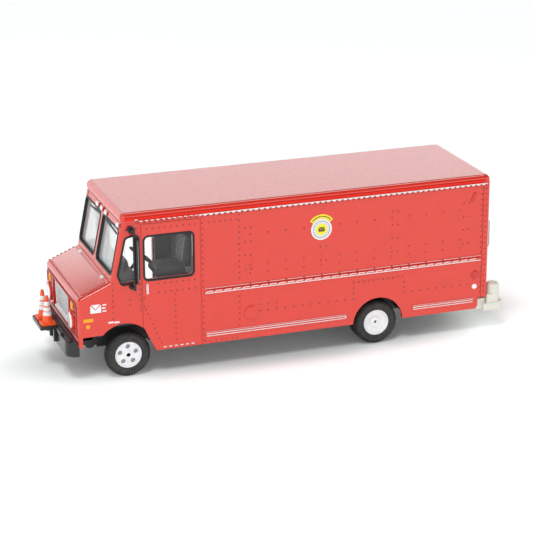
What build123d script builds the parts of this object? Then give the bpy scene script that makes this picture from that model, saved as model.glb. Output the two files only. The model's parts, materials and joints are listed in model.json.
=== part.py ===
from build123d import *
import math
import os

# A 1:64 die-cast step van with turning axles and two lift-off traffic cones.
# Millimetres. +X forward, +Y to the truck's left, +Z up, ground at Z = 0,
# origin under the middle of the bounding box.

# --- running gear -----------------------------------------------------------
FRONT_AXLE_X = 47.0
REAR_AXLE_X = -28.4
TYRE_R = 6.57
AXLE_Z = TYRE_R
RIM_R = 3.85
TYRE_W = 3.2
WHEEL_FACE_Y = 17.4
DUAL_PITCH = 3.55
ROD_R = 0.8
HUB_HOLE_R = (0.62, 0.42)
ROD_END_INSET = (0.75, 1.25)
RUNNING_GAP = 0.05
HAND_HOLES = 5
HAND_HOLE_R = 0.68
HAND_HOLE_RING = 2.4

# --- body casting -----------------------------------------------------------
HALF_W = 18.5
WALL = 1.1
REAR_X = -63.5
SKIRT_Z = 7.4
REAR_NOTCH_X = REAR_X + 3.1
REAR_NOTCH_Z = 10.8
SEAM_Z = 46.4
ROOF_Z = 48.5
HEADER_X = 48.3
COWL_X = 51.9
COWL_Z = 29.0
NOSE_X = 61.4
NOSE_Z = 25.0
NOSE_SILL_Z = 13.8
APRON_Z = 10.8
FRONT_ARCH = [(54.5, 13.9), (48.0, 16.65), (42.5, 14.3)]
FRONT_ARCH_FOOT = (39.2, SKIRT_Z)
REAR_ARCH_R = 7.85
REAR_ARCH_Z = 6.9
SCREEN_LEAN = math.degrees(math.atan2(COWL_X - HEADER_X, SEAM_Z - COWL_Z))
FIT = 0.03

# --- glazing openings -------------------------------------------------------
SCREEN_Z = (31.1, 43.6)
SCREEN_Y = (1.35, 17.3)
DOOR_WINDOW = (27.9, 42.0, 28.7, 41.2)
RIGHT_DOORWAY = [(29.4, 9.9), (36.9, 9.9), (40.9, 19.6), (42.3, 22.0), (42.3, 42.2), (29.4, 42.2)]
STEP_WELL = (29.0, 38.2, -12.2)
QUARTER_WINDOW = [(43.8, 28.9), (48.6, 28.0), (49.7, 31.0), (47.3, 41.4), (43.8, 42.1)]
GLASS_T = 0.5
GLASS_SETBACK = 0.75

# --- panel lines and rails on the sides -------------------------------------
DOOR_FRONT_X = 42.9
DOOR_REAR_X = 25.7
SEAM_W = 0.22
SEAM_DEPTH = 0.2
RAIL_PROUD = 0.3
BELT_Z = (22.3, 24.1)
BELT_LIP_Z = (21.0, 22.3)
BELT_X = (-61.1, 24.8)
DRIP_Z = (45.5, 46.3)
DRIP_X = (-62.6, 44.4)
RUB_Z = (9.2, 11.0)
RUB_FRONT_X = (-18.4, 24.5)
RUB_REAR_X = (-59.3, -39.3)
FUEL_DOOR = (10.8, 15.1, 2.15)
REAR_DOOR_HALF = 14.0
REAR_DOOR_Z = (12.6, 42.8)
REAR_DOOR_SLATS = 9

# --- front face -------------------------------------------------------------
LAMP_Y = 12.8
LAMP_Z = 17.5
LAMP_R = 2.35
POD_R = 2.75
POD_PROUD = 0.9
SIGNAL_Z = 21.7
SIGNAL_SIZE = (1.0, 2.2, 2.2)
GRILLE_HALF = (7.6, 6.5)
GRILLE_Z = (15.9, 22.5)
CLEARANCE_Y = (-16.7, -4.5, 0.0, 4.5, 16.7)
CLEARANCE_SIZE = (0.4, 1.7, 0.9)
WIPER_Y = (3.1, 14.4)
WIPER_Z = (42.5, 41.9)
WIPER_T = 0.3

# --- mirrors ----------------------------------------------------------------
MIRROR_X = 44.95
MIRROR_Y = 20.5
MIRROR_Z = 35.4
MIRROR_HEIGHT = 13.6
MIRROR_WIDTH = 2.3

# --- bumpers, tray and cones ------------------------------------------------
BUMPER_X = 64.6
BUMPER_Z = (8.0, 12.4)
BUMPER_T = 1.2
BUMPER_HALF = 17.5
BUMPER_CORNER_R = 3.1
BUMPER_FOOT_X = 59.2
TRAY_X = (63.9, 69.2)
TRAY_HALF = 5.3
TRAY_Z = (BUMPER_Z[1] + 0.03, 13.5)
TRAY_RIM = 0.3
TRAY_SINK = 0.35
HANGER_Y = (-4.6, -0.2, 4.6)
HANGER_Z = 8.6
CONE_X = 66.55
CONE_Y = 2.65
CONE_BASE = 4.3
CONE_BASE_T = 0.8
CONE_H = 8.7
CONE_R = (1.45, 0.42)
PEG_R = 0.5
PEG_H = 1.6
REAR_END_X = -69.2
REAR_BAR_Z = (6.8, 10.1)
REAR_FOOT_Z = (6.3, 8.6)
POST_X = -66.1
POST_Y = 16.6
POST_R = 2.05
POST_TOP_Z = 14.5

# --- inside and under -------------------------------------------------------
PLATE_Z = (8.4, 9.6)
WELL_Y = 9.9
RAIL_Y = 5.4
FLOOR_Z = 17.4
BULKHEAD_X = 24.0
SCREW_X = (-48.0, 14.0)
SCREW_R = 0.75
POST_BORE_DEPTH = 6.0
SEAT_Y = 8.2
SEAT_X = (28.2, 37.1)
SEAT_Z = (26.7, 29.5)
SEAT_HALF = 3.6
SEAT_BACK = (27.3, 33.4, -7.0)
SEAT_BACK_SIZE = (2.4, 7.0, 9.0)
DASH_FACE = [(50.0, 22.0), (50.0, 29.8), (47.5, 30.9), (44.4, 30.6), (43.6, 29.0), (45.8, 22.0)]
BINNACLE_FACE = [(44.4, 30.0), (47.2, 30.0), (46.6, 32.2), (44.9, 32.4)]
WHEEL_PLACE = (40.2, 32.7)
WHEEL_TILT = 38.0
WHEEL_RING = (3.6, 0.33)
TANK_X = (-2.0, 16.0)
TANK_Y = (8.9, 13.9)
TANK_FOOT_Z = 6.2
EXHAUST_Y = -12.6
EXHAUST_Z = 7.5


def block(x, y, z):
    """A box given by its lowest and highest coordinate on each axis."""
    size = [max(pair) - min(pair) for pair in (x, y, z)]
    middle = [sum(pair) / 2 for pair in (x, y, z)]
    return Pos(*middle) * Box(*size)


def rod_y(x, z, radius, y0, y1):
    """A cylinder along Y."""
    return Pos(x, (y0 + y1) / 2, z) * Rot(90, 0, 0) * Cylinder(radius, abs(y1 - y0))


def rod_x(y, z, radius, x0, x1):
    """A cylinder along X."""
    return Pos((x0 + x1) / 2, y, z) * Rot(0, 90, 0) * Cylinder(radius, abs(x1 - x0))


def rod_z(x, y, radius, z0, z1):
    """An upright cylinder."""
    return Pos(x, y, (z0 + z1) / 2) * Cylinder(radius, abs(z1 - z0))


def prism_y(face, y0, y1):
    """A side-view face, drawn in X and Z, run across from y0 to y1."""
    flat = Plane.XZ * face
    return Pos(0, y0, 0) * extrude(flat, amount=y1 - y0, dir=(0, 1, 0))


def polygon(points):
    return make_face(Polyline(*points, close=True))


def mirrored(shape):
    """The same shape on the truck's other side."""
    return mirror(shape, about=Plane.XZ)


def both_sides(shape):
    return shape + mirrored(shape)


def screen_x(z):
    """Where the windscreen plane stands at a height."""
    return COWL_X - (z - COWL_Z) * (COWL_X - HEADER_X) / (SEAM_Z - COWL_Z)


def screen_place(y, z, out=0.0):
    """A frame on the windscreen plane: local +X out, +Y left, +Z up the plane."""
    return Pos(screen_x(z), y, z) * Rot(0, -SCREEN_LEAN, 0) * Pos(out, 0, 0)


# --- body casting -----------------------------------------------------------

def side_outline():
    """Side view of the body, wheel arch included, as one face."""
    arch = ThreePointArc(*FRONT_ARCH)
    upper = Polyline(
        FRONT_ARCH_FOOT,
        (REAR_NOTCH_X, SKIRT_Z),
        (REAR_NOTCH_X, REAR_NOTCH_Z),
        (REAR_X, REAR_NOTCH_Z),
        (REAR_X, SEAM_Z),
        (HEADER_X, SEAM_Z),
        (COWL_X, COWL_Z),
        (NOSE_X, NOSE_Z),
        (NOSE_X, APRON_Z),
        (NOSE_X - WALL, APRON_Z),
        (NOSE_X - WALL, NOSE_SILL_Z),
        FRONT_ARCH[0],
    )
    slant = Line(FRONT_ARCH[2], FRONT_ARCH_FOOT)
    return make_face(Curve() + [upper, arch, slant])


def outer_block():
    """The body as a solid lump with its long edges rounded."""
    lump = prism_y(side_outline(), -HALF_W, HALF_W)
    side_edges = lump.edges().filter_by(lambda e: abs(abs(e.center().Y) - HALF_W) < 0.01)
    hood = side_edges.filter_by(lambda e: NOSE_X > e.center().X > COWL_X and e.center().Z > NOSE_Z)
    nose = side_edges.filter_by(lambda e: abs(e.center().X - NOSE_X) < 0.01)
    brow = lump.edges().filter_by(Axis.Y).filter_by(
        lambda e: abs(e.center().X - NOSE_X) < 0.01 and e.center().Z > NOSE_SILL_Z)
    lump = fillet(hood + nose + brow, 1.1)
    uprights = lump.edges().filter_by(lambda e: abs(abs(e.center().Y) - HALF_W) < 0.01)
    pillars = uprights.filter_by(lambda e: e.center().Z > COWL_Z + 2 and e.length < 20 and e.length > 15)
    rear = uprights.filter_by(lambda e: abs(e.center().X - REAR_X) < 0.01)
    return fillet(pillars + rear, 0.8)


def skirt_corner():
    """Sliver that rounds the lower rear corner of the side walls."""
    radius = 1.2
    square = Pos(REAR_NOTCH_X + radius / 2, SKIRT_Z + radius / 2) * Rectangle(radius, radius)
    disc = Pos(REAR_NOTCH_X + radius, SKIRT_Z + radius) * Circle(radius)
    return prism_y(square - disc, -HALF_W - 1, HALF_W + 1)


def cavity():
    """The hollow of the casting, open above and below."""
    reach = 60.0
    line = polygon([
        (REAR_X, -reach),
        (REAR_X, reach),
        (screen_x(reach), reach),
        (COWL_X, COWL_Z),
        (NOSE_X, NOSE_Z),
        (NOSE_X, -reach),
    ])
    inset = offset(line, amount=-WALL, kind=Kind.INTERSECTION)
    return prism_y(inset, -HALF_W + WALL, HALF_W - WALL)


def rounded_window(x0, x1, z0, z1, radius):
    return Pos((x0 + x1) / 2, (z0 + z1) / 2) * RectangleRounded(x1 - x0, z1 - z0, radius)


def quarter_face():
    face = polygon(QUARTER_WINDOW)
    return fillet(face.vertices(), 0.95)


def side_window_faces():
    return [rounded_window(*DOOR_WINDOW, 1.2), quarter_face()]


def screen_pane(depth_in, depth_out, shrink=0.0):
    """The left windscreen pane as a block across the windscreen plane."""
    width = SCREEN_Y[1] - SCREEN_Y[0] - 2 * shrink
    lean = math.radians(SCREEN_LEAN)
    height = (SCREEN_Z[1] - SCREEN_Z[0]) / math.cos(lean) - 2 * shrink
    face = Plane.YZ * RectangleRounded(width, height, 1.1 - shrink)
    slab = extrude(face, amount=depth_in + depth_out, dir=(1, 0, 0))
    place = screen_place(sum(SCREEN_Y) / 2, sum(SCREEN_Z) / 2, -depth_in)
    return place * slab


def grille_face(grow=0.0):
    """Front view of the grille: a trapezium in Y and Z."""
    top, foot = GRILLE_HALF
    face = polygon([(-foot, GRILLE_Z[0]), (foot, GRILLE_Z[0]), (top, GRILLE_Z[1]), (-top, GRILLE_Z[1])])
    return Plane.YZ * offset(face, amount=grow, kind=Kind.INTERSECTION) if grow else Plane.YZ * face


def rail(x, z, proud, radius):
    """A raised rail with round ends on the left side."""
    face = rounded_window(x[0], x[1], z[0], z[1], radius)
    return prism_y(face, HALF_W - 0.3, HALF_W + proud)


def side_relief():
    """Raised rails, fuel door and window frames of the left side."""
    relief = rail(BELT_X, BELT_Z, 0.14, 0.3)
    relief += rail(BELT_X, BELT_LIP_Z, 0.1, 0.1)
    relief += rail(BELT_X, (BELT_Z[1] - 0.3, BELT_Z[1]), RAIL_PROUD - 0.08, 0.12)
    relief += rail(BELT_X, (BELT_Z[0] + 0.1, BELT_Z[0] + 1.15), RAIL_PROUD, 0.3)
    relief += rail(DRIP_X, DRIP_Z, RAIL_PROUD, 0.3)
    for span in (RUB_FRONT_X, RUB_REAR_X):
        relief += rail(span, RUB_Z, 0.2, 0.35)
        middle = sum(RUB_Z) / 2
        for centre in (middle - 0.32, middle + 0.32):
            relief += rail((span[0] + 0.9, span[1] - 0.9), (centre - 0.17, centre + 0.17), RAIL_PROUD, 0.15)
    return relief


def fuel_door():
    x, z, radius = FUEL_DOOR
    return rod_y(x, z, radius, HALF_W - 0.3, HALF_W + 0.16)


def door_seams():
    """Engraved outline of the left cab door."""
    depth = (HALF_W - SEAM_DEPTH, HALF_W + 1)
    half = SEAM_W / 2
    cuts = block((DOOR_FRONT_X - half, DOOR_FRONT_X + half), depth, (11.0, 45.2))
    cuts += block((DOOR_REAR_X - half, DOOR_REAR_X + half), depth, (SKIRT_Z - 1, 45.2))
    cuts += block((DOOR_REAR_X - half, DOOR_FRONT_X + half), depth, (45.2 - SEAM_W, 45.2))
    return cuts


def right_doorway():
    """The right cab door stands slid back: an open doorway down to the step."""
    face = polygon(RIGHT_DOORWAY)
    top = face.vertices().group_by(Axis.Y)[-1]
    return prism_y(fillet(top, 1.0), -HALF_W - 2, -HALF_W + WALL + 1)


def cargo_step():
    """Thin step at the rear edge of each side where the back frame begins."""
    return block((REAR_X + 2.05, REAR_X + 2.25), (HALF_W - SEAM_DEPTH, HALF_W + 1), (REAR_NOTCH_Z - 4, 45.2))


def make_body_shell():
    body = outer_block()
    body += both_sides(side_relief())
    body += fuel_door()
    for y in (-LAMP_Y, LAMP_Y):
        body += rod_x(y, LAMP_Z, POD_R, NOSE_X - 0.5, NOSE_X + POD_PROUD)
    body -= cavity()
    body -= rod_y(REAR_AXLE_X, REAR_ARCH_Z, REAR_ARCH_R, -HALF_W - 2, HALF_W + 2)
    body -= skirt_corner()
    for face in side_window_faces():
        body -= prism_y(face, -HALF_W - 2, HALF_W + 2)
    body -= both_sides(screen_pane(3, 3))
    body -= both_sides(door_seams() + cargo_step())
    body -= right_doorway()
    body -= extrude(Pos(NOSE_X - 0.4, 0, 0) * grille_face(), amount=3, dir=(1, 0, 0))
    body -= block((REAR_X - 1, REAR_X + WALL + 1), (-REAR_DOOR_HALF, REAR_DOOR_HALF), REAR_DOOR_Z)
    return body


def make_roof_cap():
    """Roof panel with a plug that sits inside the walls and two screw posts."""
    slab = block((REAR_X, HEADER_X + 0.35), (-HALF_W, HALF_W), (SEAM_Z, ROOF_Z))
    slab = fillet(slab.edges().filter_by(Axis.Z), 1.0)
    slab = fillet(slab.edges().group_by(Axis.Z)[-1], 1.35)
    slab -= block((REAR_X + 2, HEADER_X - 2.2), (-HALF_W + 2, HALF_W - 2), (SEAM_Z - 1, ROOF_Z - 1.1))
    gap = WALL + FIT
    plug = block((REAR_X + gap, HEADER_X - 1.6), (-HALF_W + gap, HALF_W - gap), (SEAM_Z - 0.8, SEAM_Z))
    plug -= block((REAR_X + 2, HEADER_X - 2.2), (-HALF_W + 2, HALF_W - 2), (SEAM_Z - 1, SEAM_Z + 1))
    cap = slab + plug
    for x in SCREW_X:
        cap += rod_z(x, 0, 2.0, PLATE_Z[1], ROOF_Z - 0.9)
        cap -= rod_z(x, 0, SCREW_R, PLATE_Z[1] - 1, PLATE_Z[1] + POST_BORE_DEPTH)
    return cap


def make_rear_door():
    """Roll-up rear door: a slatted panel that fills the rear opening."""
    y = (-REAR_DOOR_HALF + FIT, REAR_DOOR_HALF - FIT)
    z = (REAR_DOOR_Z[0] + FIT, REAR_DOOR_Z[1] - FIT)
    door = block((REAR_X + 0.35, REAR_X + WALL), y, z)
    pitch = (z[1] - z[0]) / REAR_DOOR_SLATS
    for index in range(1, REAR_DOOR_SLATS):
        line = z[0] + index * pitch
        door -= block((REAR_X, REAR_X + 0.55), (y[0] - 1, y[1] + 1), (line - 0.12, line + 0.12))
    door += block((REAR_X + 0.05, REAR_X + 0.5), (-2.2, 2.2), (z[0] + 0.9, z[0] + 1.6))
    return door


# --- glazing ----------------------------------------------------------------

def make_windshield_glazing():
    """Both windscreen panes on one backing sheet behind the wall."""
    lean = math.radians(SCREEN_LEAN)
    middle = sum(SCREEN_Z) / 2
    height = (SCREEN_Z[1] - SCREEN_Z[0]) / math.cos(lean) + 1.6
    wall = WALL + FIT
    sheet = screen_place(0, middle, -wall - GLASS_T / 2) * Box(GLASS_T, 2 * SCREEN_Y[1] - 0.2, height)
    panes = both_sides(screen_pane(wall, -GLASS_SETBACK, FIT))
    return sheet + panes


def make_cab_glazing(rear_x, faces):
    """Side windows on one backing sheet, drawn for the left side.

    rear_x is where the sheet starts, and faces are the windows it fills.
    """
    inner = HALF_W - WALL - FIT
    sheet = block((rear_x, 47.9), (inner - GLASS_T, inner), (DOOR_WINDOW[2] - 0.2, 42.6))
    lean_cut = polygon([(49.0, 28.0), (50.6, 34.0), (50.6, 44.0), (46.0, 44.0)])
    sheet -= prism_y(lean_cut, inner - 2, inner + 1)
    trim = block((10, 60), (0, 30), (DOOR_WINDOW[2] - 0.2, 50))
    for face in faces:
        pane = prism_y(offset(face, amount=-FIT), inner, HALF_W - GLASS_SETBACK)
        sheet += pane & trim
    return sheet


# --- nose trim and lamps ----------------------------------------------------

def make_grille():
    """Grille plate with raised vertical bars and a shelf below."""
    plate = extrude(Pos(NOSE_X - 0.4, 0, 0) * grille_face(-FIT), amount=0.45, dir=(1, 0, 0))
    bars = 13
    for index in range(bars):
        y = -GRILLE_HALF[1] + 0.6 + index * (2 * GRILLE_HALF[1] - 1.2) / (bars - 1)
        plate += block((NOSE_X - 0.1, NOSE_X + 0.2), (y - 0.16, y + 0.16), (GRILLE_Z[0] + 0.5, GRILLE_Z[1] - 0.5))
    plate += block((NOSE_X, NOSE_X + 0.5), (-7.2, 7.2), (GRILLE_Z[0] - 1.2, GRILLE_Z[0] - 0.35))
    plate += block((NOSE_X, NOSE_X + 0.2), (-6.0, 6.0), (GRILLE_Z[0] - 0.5, GRILLE_Z[0] + 0.5))
    return plate


def make_headlamp():
    """Left round headlamp lens, slightly domed."""
    lens = rod_x(LAMP_Y, LAMP_Z, LAMP_R, NOSE_X + POD_PROUD, NOSE_X + POD_PROUD + 0.5)
    return fillet(lens.edges().group_by(Axis.X)[-1], 0.3)


def make_turn_signal():
    depth, width, height = SIGNAL_SIZE
    lens = block((NOSE_X, NOSE_X + depth), (LAMP_Y - width / 2, LAMP_Y + width / 2),
                 (SIGNAL_Z - height / 2, SIGNAL_Z + height / 2))
    return fillet(lens.edges().group_by(Axis.X)[-1], 0.25)


def make_clearance_lamps():
    """Five marker lamps on the header over the windscreen."""
    depth, width, height = CLEARANCE_SIZE
    lamp = fillet(Box(depth, width, height).edges().group_by(Axis.X)[-1], 0.2)
    return Compound(children=[screen_place(y, 45.0, depth / 2) * lamp for y in CLEARANCE_Y])


def make_tail_lamp():
    """Left round stop and tail lamp on the rear frame."""
    lens = rod_x(16.1, 19.0, 1.0, REAR_X - 0.45, REAR_X)
    return fillet(lens.edges().group_by(Axis.X)[0], 0.2)


def make_mirror():
    """Left mirror head with its upper and lower arms."""
    face = RectangleRounded(MIRROR_HEIGHT, MIRROR_WIDTH, 0.8)
    head = Pos(MIRROR_X, MIRROR_Y, MIRROR_Z) * Rot(0, 90, 0) * extrude(face, amount=0.25, both=True)
    stem_x = MIRROR_X + 0.45
    mirror_arms = rod_z(stem_x, MIRROR_Y - 0.3, 0.35, 26.6, 44.2)
    for z, boss in ((44.0, 1.0), (27.3, 0.75)):
        mirror_arms += rod_y(stem_x + 0.5, z, 0.4, HALF_W, MIRROR_Y)
        mirror_arms += rod_y(stem_x + 0.5, z, boss, HALF_W, HALF_W + 0.8)
        mirror_arms += block((stem_x - 0.2, stem_x + 0.5), (MIRROR_Y - 0.6, MIRROR_Y), (z - 0.35, z + 0.35))
    return head + mirror_arms


def make_mirror_glass():
    glass = extrude(RectangleRounded(MIRROR_HEIGHT - 1.2, MIRROR_WIDTH - 0.5, 0.6), amount=0.12)
    return Pos(MIRROR_X - 0.25, MIRROR_Y, MIRROR_Z) * Rot(0, -90, 0) * glass


def make_wiper():
    """Left wiper moulded along the top of its pane: blade, arm and pivot boss."""
    rise = WIPER_Z[0] - WIPER_Z[1]
    run = WIPER_Y[1] - WIPER_Y[0]
    out = WIPER_T / 2 - GLASS_SETBACK + 0.01
    centre = screen_place(sum(WIPER_Y) / 2, sum(WIPER_Z) / 2, out)
    blade = centre * Rot(-math.degrees(math.atan2(rise, run)), 0, 0) * Box(WIPER_T, run, 0.4)
    arm = screen_place(WIPER_Y[0] + 2.6, WIPER_Z[0] + 0.18, out) * Box(WIPER_T, 4.6, 0.25)
    boss = screen_place(WIPER_Y[0] + 0.35, WIPER_Z[0] + 0.25, out) * Box(WIPER_T, 0.7, 0.75)
    return blade + arm + boss


# --- bumpers, tray and cones ------------------------------------------------

def bumper_channel():
    """Wrap-round channel of the front bumper, seen from above."""
    back = BUMPER_X - BUMPER_CORNER_R
    path = [
        Line((back - 0.4, -BUMPER_HALF), (back, -BUMPER_HALF)),
        RadiusArc((back, -BUMPER_HALF), (BUMPER_X, -BUMPER_HALF + BUMPER_CORNER_R), -BUMPER_CORNER_R),
        Line((BUMPER_X, -BUMPER_HALF + BUMPER_CORNER_R), (BUMPER_X, BUMPER_HALF - BUMPER_CORNER_R)),
        RadiusArc((BUMPER_X, BUMPER_HALF - BUMPER_CORNER_R), (back, BUMPER_HALF), -BUMPER_CORNER_R),
        Line((back, BUMPER_HALF), (back - 0.4, BUMPER_HALF)),
        Line((back - 0.4, BUMPER_HALF), (back - 0.4, -BUMPER_HALF)),
    ]
    outer = make_face(Curve() + path)
    slab = Pos(0, 0, BUMPER_Z[0]) * extrude(outer, amount=BUMPER_Z[1] - BUMPER_Z[0])
    slab = fillet(slab.edges().group_by(Axis.Z)[-1].filter_by(lambda e: e.center().X > back), 0.35)
    hollow = block((back - 2, BUMPER_X - BUMPER_T), (-BUMPER_HALF + BUMPER_T, BUMPER_HALF - BUMPER_T),
                   (BUMPER_Z[0] - 1, BUMPER_Z[1] - 0.7))
    hollow = fillet(hollow.edges().filter_by(Axis.Z).group_by(Axis.X)[-1], BUMPER_CORNER_R - BUMPER_T)
    return slab - hollow


def make_front_bumper():
    """Black bumper with two arms that reach back to the chassis."""
    bumper = bumper_channel()
    apron = block((NOSE_X - 2, NOSE_X + FIT), (-HALF_W, HALF_W), (APRON_Z - 0.1, BUMPER_Z[1] + 1))
    bumper -= apron
    for y in (-RAIL_Y, RAIL_Y):
        bumper += block((BUMPER_FOOT_X, BUMPER_X - BUMPER_T + 0.1), (y - 0.8, y + 0.8), (8.6, APRON_Z - 0.15))
    return bumper


def make_cone_tray():
    """Tray with a low rim, two pegs, and two hangers on the bumper face."""
    tray = block(TRAY_X, (-TRAY_HALF, TRAY_HALF), TRAY_Z)
    tray = fillet(tray.edges().filter_by(Axis.Z), 0.5)
    inner_x = (TRAY_X[0] + TRAY_RIM, TRAY_X[1] - TRAY_RIM)
    tray -= block(inner_x, (-TRAY_HALF + TRAY_RIM, TRAY_HALF - TRAY_RIM), (TRAY_Z[1] - TRAY_SINK, TRAY_Z[1] + 1))
    floor = TRAY_Z[1] - TRAY_SINK
    for y in (-CONE_Y, CONE_Y):
        tray += rod_z(CONE_X, y, PEG_R, floor - 0.2, floor + PEG_H)
    for y in HANGER_Y:
        tray += block((BUMPER_X + 0.02, BUMPER_X + 0.8), (y - 0.5, y + 0.5), (HANGER_Z, TRAY_Z[0] + 0.3))
    tray += block((BUMPER_X - 0.7, BUMPER_X + 0.3), (TRAY_HALF - 1, TRAY_HALF + 5.6), (TRAY_Z[0], TRAY_Z[0] + 0.7))
    return tray


def make_cone(y):
    """Traffic cone with a square foot, hollow enough to drop on its peg."""
    foot_z = TRAY_Z[1] - TRAY_SINK + 0.05
    foot = block((CONE_X - CONE_BASE / 2, CONE_X + CONE_BASE / 2), (y - CONE_BASE / 2, y + CONE_BASE / 2),
                 (foot_z, foot_z + CONE_BASE_T))
    foot = fillet(foot.edges().filter_by(Axis.Z), 0.6)
    foot = chamfer(foot.edges().group_by(Axis.Z)[-1], 0.25)
    height = CONE_H - CONE_BASE_T
    body = Pos(CONE_X, y, foot_z + CONE_BASE_T + height / 2) * Cone(CONE_R[0], CONE_R[1], height)
    tip = body.edges().group_by(Axis.Z)[-1]
    cone = foot + fillet(tip, 0.25)
    return cone - rod_z(CONE_X, y, PEG_R + RUNNING_GAP, foot_z - 1, foot_z + PEG_H + 0.3)


def make_rear_bumper():
    """Pale step bumper: a cross bar and two upright corner posts on flanges."""
    bar = block((REAR_NOTCH_X - 2.9, REAR_NOTCH_X - FIT), (-HALF_W + 0.8, HALF_W - 0.8), REAR_BAR_Z)
    bar += block((REAR_END_X + 1.2, REAR_NOTCH_X - 2.0), (-POST_Y, POST_Y), (REAR_BAR_Z[0], REAR_FOOT_Z[1]))
    post = rod_z(POST_X, POST_Y, POST_R, REAR_FOOT_Z[0] + 1, POST_TOP_Z)
    post = fillet(post.edges().group_by(Axis.Z)[-1], 0.9)
    foot = block((REAR_END_X, REAR_NOTCH_X - 2.0), (12.6, HALF_W + 0.4), REAR_FOOT_Z)
    foot = fillet(foot.edges().filter_by(Axis.Z).group_by(Axis.X)[0], 2.6)
    foot = fillet(foot.edges().group_by(Axis.Z)[0], 0.5)
    web = block((POST_X, REAR_X - FIT), (POST_Y - POST_R, POST_Y + POST_R), (6.8, REAR_BAR_Z[1] + 1.2))
    return bar + both_sides(post + foot + web)


# --- chassis and underside --------------------------------------------------

def wheel_well(axle_x, half_length, top_z):
    """Black liner over the wheels on both sides: roof and two end walls."""
    y = (WELL_Y - 0.8, HALF_W - WALL - FIT)
    outer = block((axle_x - half_length, axle_x + half_length), y, (PLATE_Z[0], top_z))
    inner = block((axle_x - half_length + 0.8, axle_x + half_length - 0.8), (WELL_Y, HALF_W), (0, top_z - 0.8))
    return both_sides(outer - inner)


def axle_saddles(axle_x):
    """Two bearing blocks under the plate, bored for the axle."""
    blocks = both_sides(block((axle_x - 2.0, axle_x + 2.0), (RAIL_Y - 0.9, RAIL_Y + 0.9), (AXLE_Z - 1.9, PLATE_Z[1])))
    return blocks - rod_y(axle_x, AXLE_Z, ROD_R + RUNNING_GAP, -10, 10)


def leaf_spring(axle_x, half_length, y):
    """Leaf pack slung from two hangers beside a frame rail."""
    spring = None
    steps = ((half_length, 7.6), (half_length * 0.72, 7.0), (half_length * 0.45, 6.4))
    for half, z in steps:
        leaf = block((axle_x - half, axle_x + half), (y - 0.7, y + 0.7), (z, z + 0.62))
        spring = leaf if spring is None else spring + leaf
    for side in (-1, 1):
        x = axle_x + side * (half_length - 0.5)
        hanger = block((x - 1.2, x + 1.2), (y - 1.0, y + 1.0), (7.0, PLATE_Z[0] + 0.3))
        spring += fillet(hanger.edges().filter_by(Axis.Y).group_by(Axis.Z)[0], 0.8)
    return spring


def make_chassis_base():
    """Base moulding: plate, wheel wells, frame rails, saddles and leaf springs."""
    half = HALF_W - WALL - FIT
    plate = block((REAR_NOTCH_X, BUMPER_FOOT_X - FIT), (-half, half), PLATE_Z)
    lengths = ((FRONT_AXLE_X - 0.5, 8.1, 17.3 - 0.9), (REAR_AXLE_X, 8.7, 15.9))
    for x, reach, top in lengths:
        well = block((x - reach, x + reach), (WELL_Y, HALF_W), (0, top))
        plate -= both_sides(well)
        plate += wheel_well(x, reach + 0.8, top)
    plate -= both_sides(block((54.0, NOSE_X), (WELL_Y, HALF_W), (0, 13.0)))
    for y in (-RAIL_Y, RAIL_Y):
        plate += block((REAR_NOTCH_X + 0.5, BUMPER_FOOT_X - FIT), (y - 0.7, y + 0.7), (7.0, PLATE_Z[0] + 0.1))
    for x, reach, _ in lengths:
        plate -= block((x - reach, x + reach), (-WELL_Y, WELL_Y), (0, AXLE_Z + ROD_R + 0.3))
    for axle in (FRONT_AXLE_X, REAR_AXLE_X):
        plate += axle_saddles(axle)
        for y in (-8.3, 8.3):
            plate += leaf_spring(axle, 9.6, y) - rod_y(axle, AXLE_Z, ROD_R + 0.3, -10, 10)
    for x in SCREW_X:
        plate += rod_z(x, 0, 2.3, PLATE_Z[0] - 0.9, PLATE_Z[1])
        plate -= rod_z(x, 0, SCREW_R + RUNNING_GAP, 0, 20)
        plate -= rod_z(x, 0, 1.6, 0, PLATE_Z[0] - 0.1)
    return plate


def make_chassis_screws():
    """Two screws that clamp base, body and roof together."""
    screws = []
    head_z = PLATE_Z[0] - 0.1
    for x in SCREW_X:
        head = rod_z(x, 0, 1.45, head_z - 0.75, head_z)
        head -= block((x - 0.9, x + 0.9), (-0.17, 0.17), (head_z - 1, head_z - 0.35))
        head -= block((x - 0.17, x + 0.17), (-0.9, 0.9), (head_z - 1, head_z - 0.35))
        screws.append(head + rod_z(x, 0, SCREW_R, head_z - 0.1, PLATE_Z[1] + POST_BORE_DEPTH - 0.5))
    return Compound(children=screws)


def make_drivetrain():
    """Sump, gearbox, propeller shaft and rear axle casing on the base."""
    top = PLATE_Z[0]
    unit = block((40.0, 44.6), (-2.6, 2.6), (5.6, top))
    unit += block((49.3, 55.0), (-3.0, 3.0), (6.0, top))
    unit += block((44.6, 49.4), (-1.8, 1.8), (7.6 + FIT, top))
    gearbox = Pos(35.6, 0, 7.1) * Rot(0, -90, 0) * Cone(1.9, 1.2, 9.0)
    unit += gearbox & block((30, 45), (-3, 3), (0, top))
    unit += rod_x(0, 7.0, 0.6, 16.6, 32.0)
    unit += rod_x(0, 7.0, 1.0, 22.6, 24.4) + block((22.9, 24.1), (-0.7, 0.7), (7.0, top))
    return unit


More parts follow.
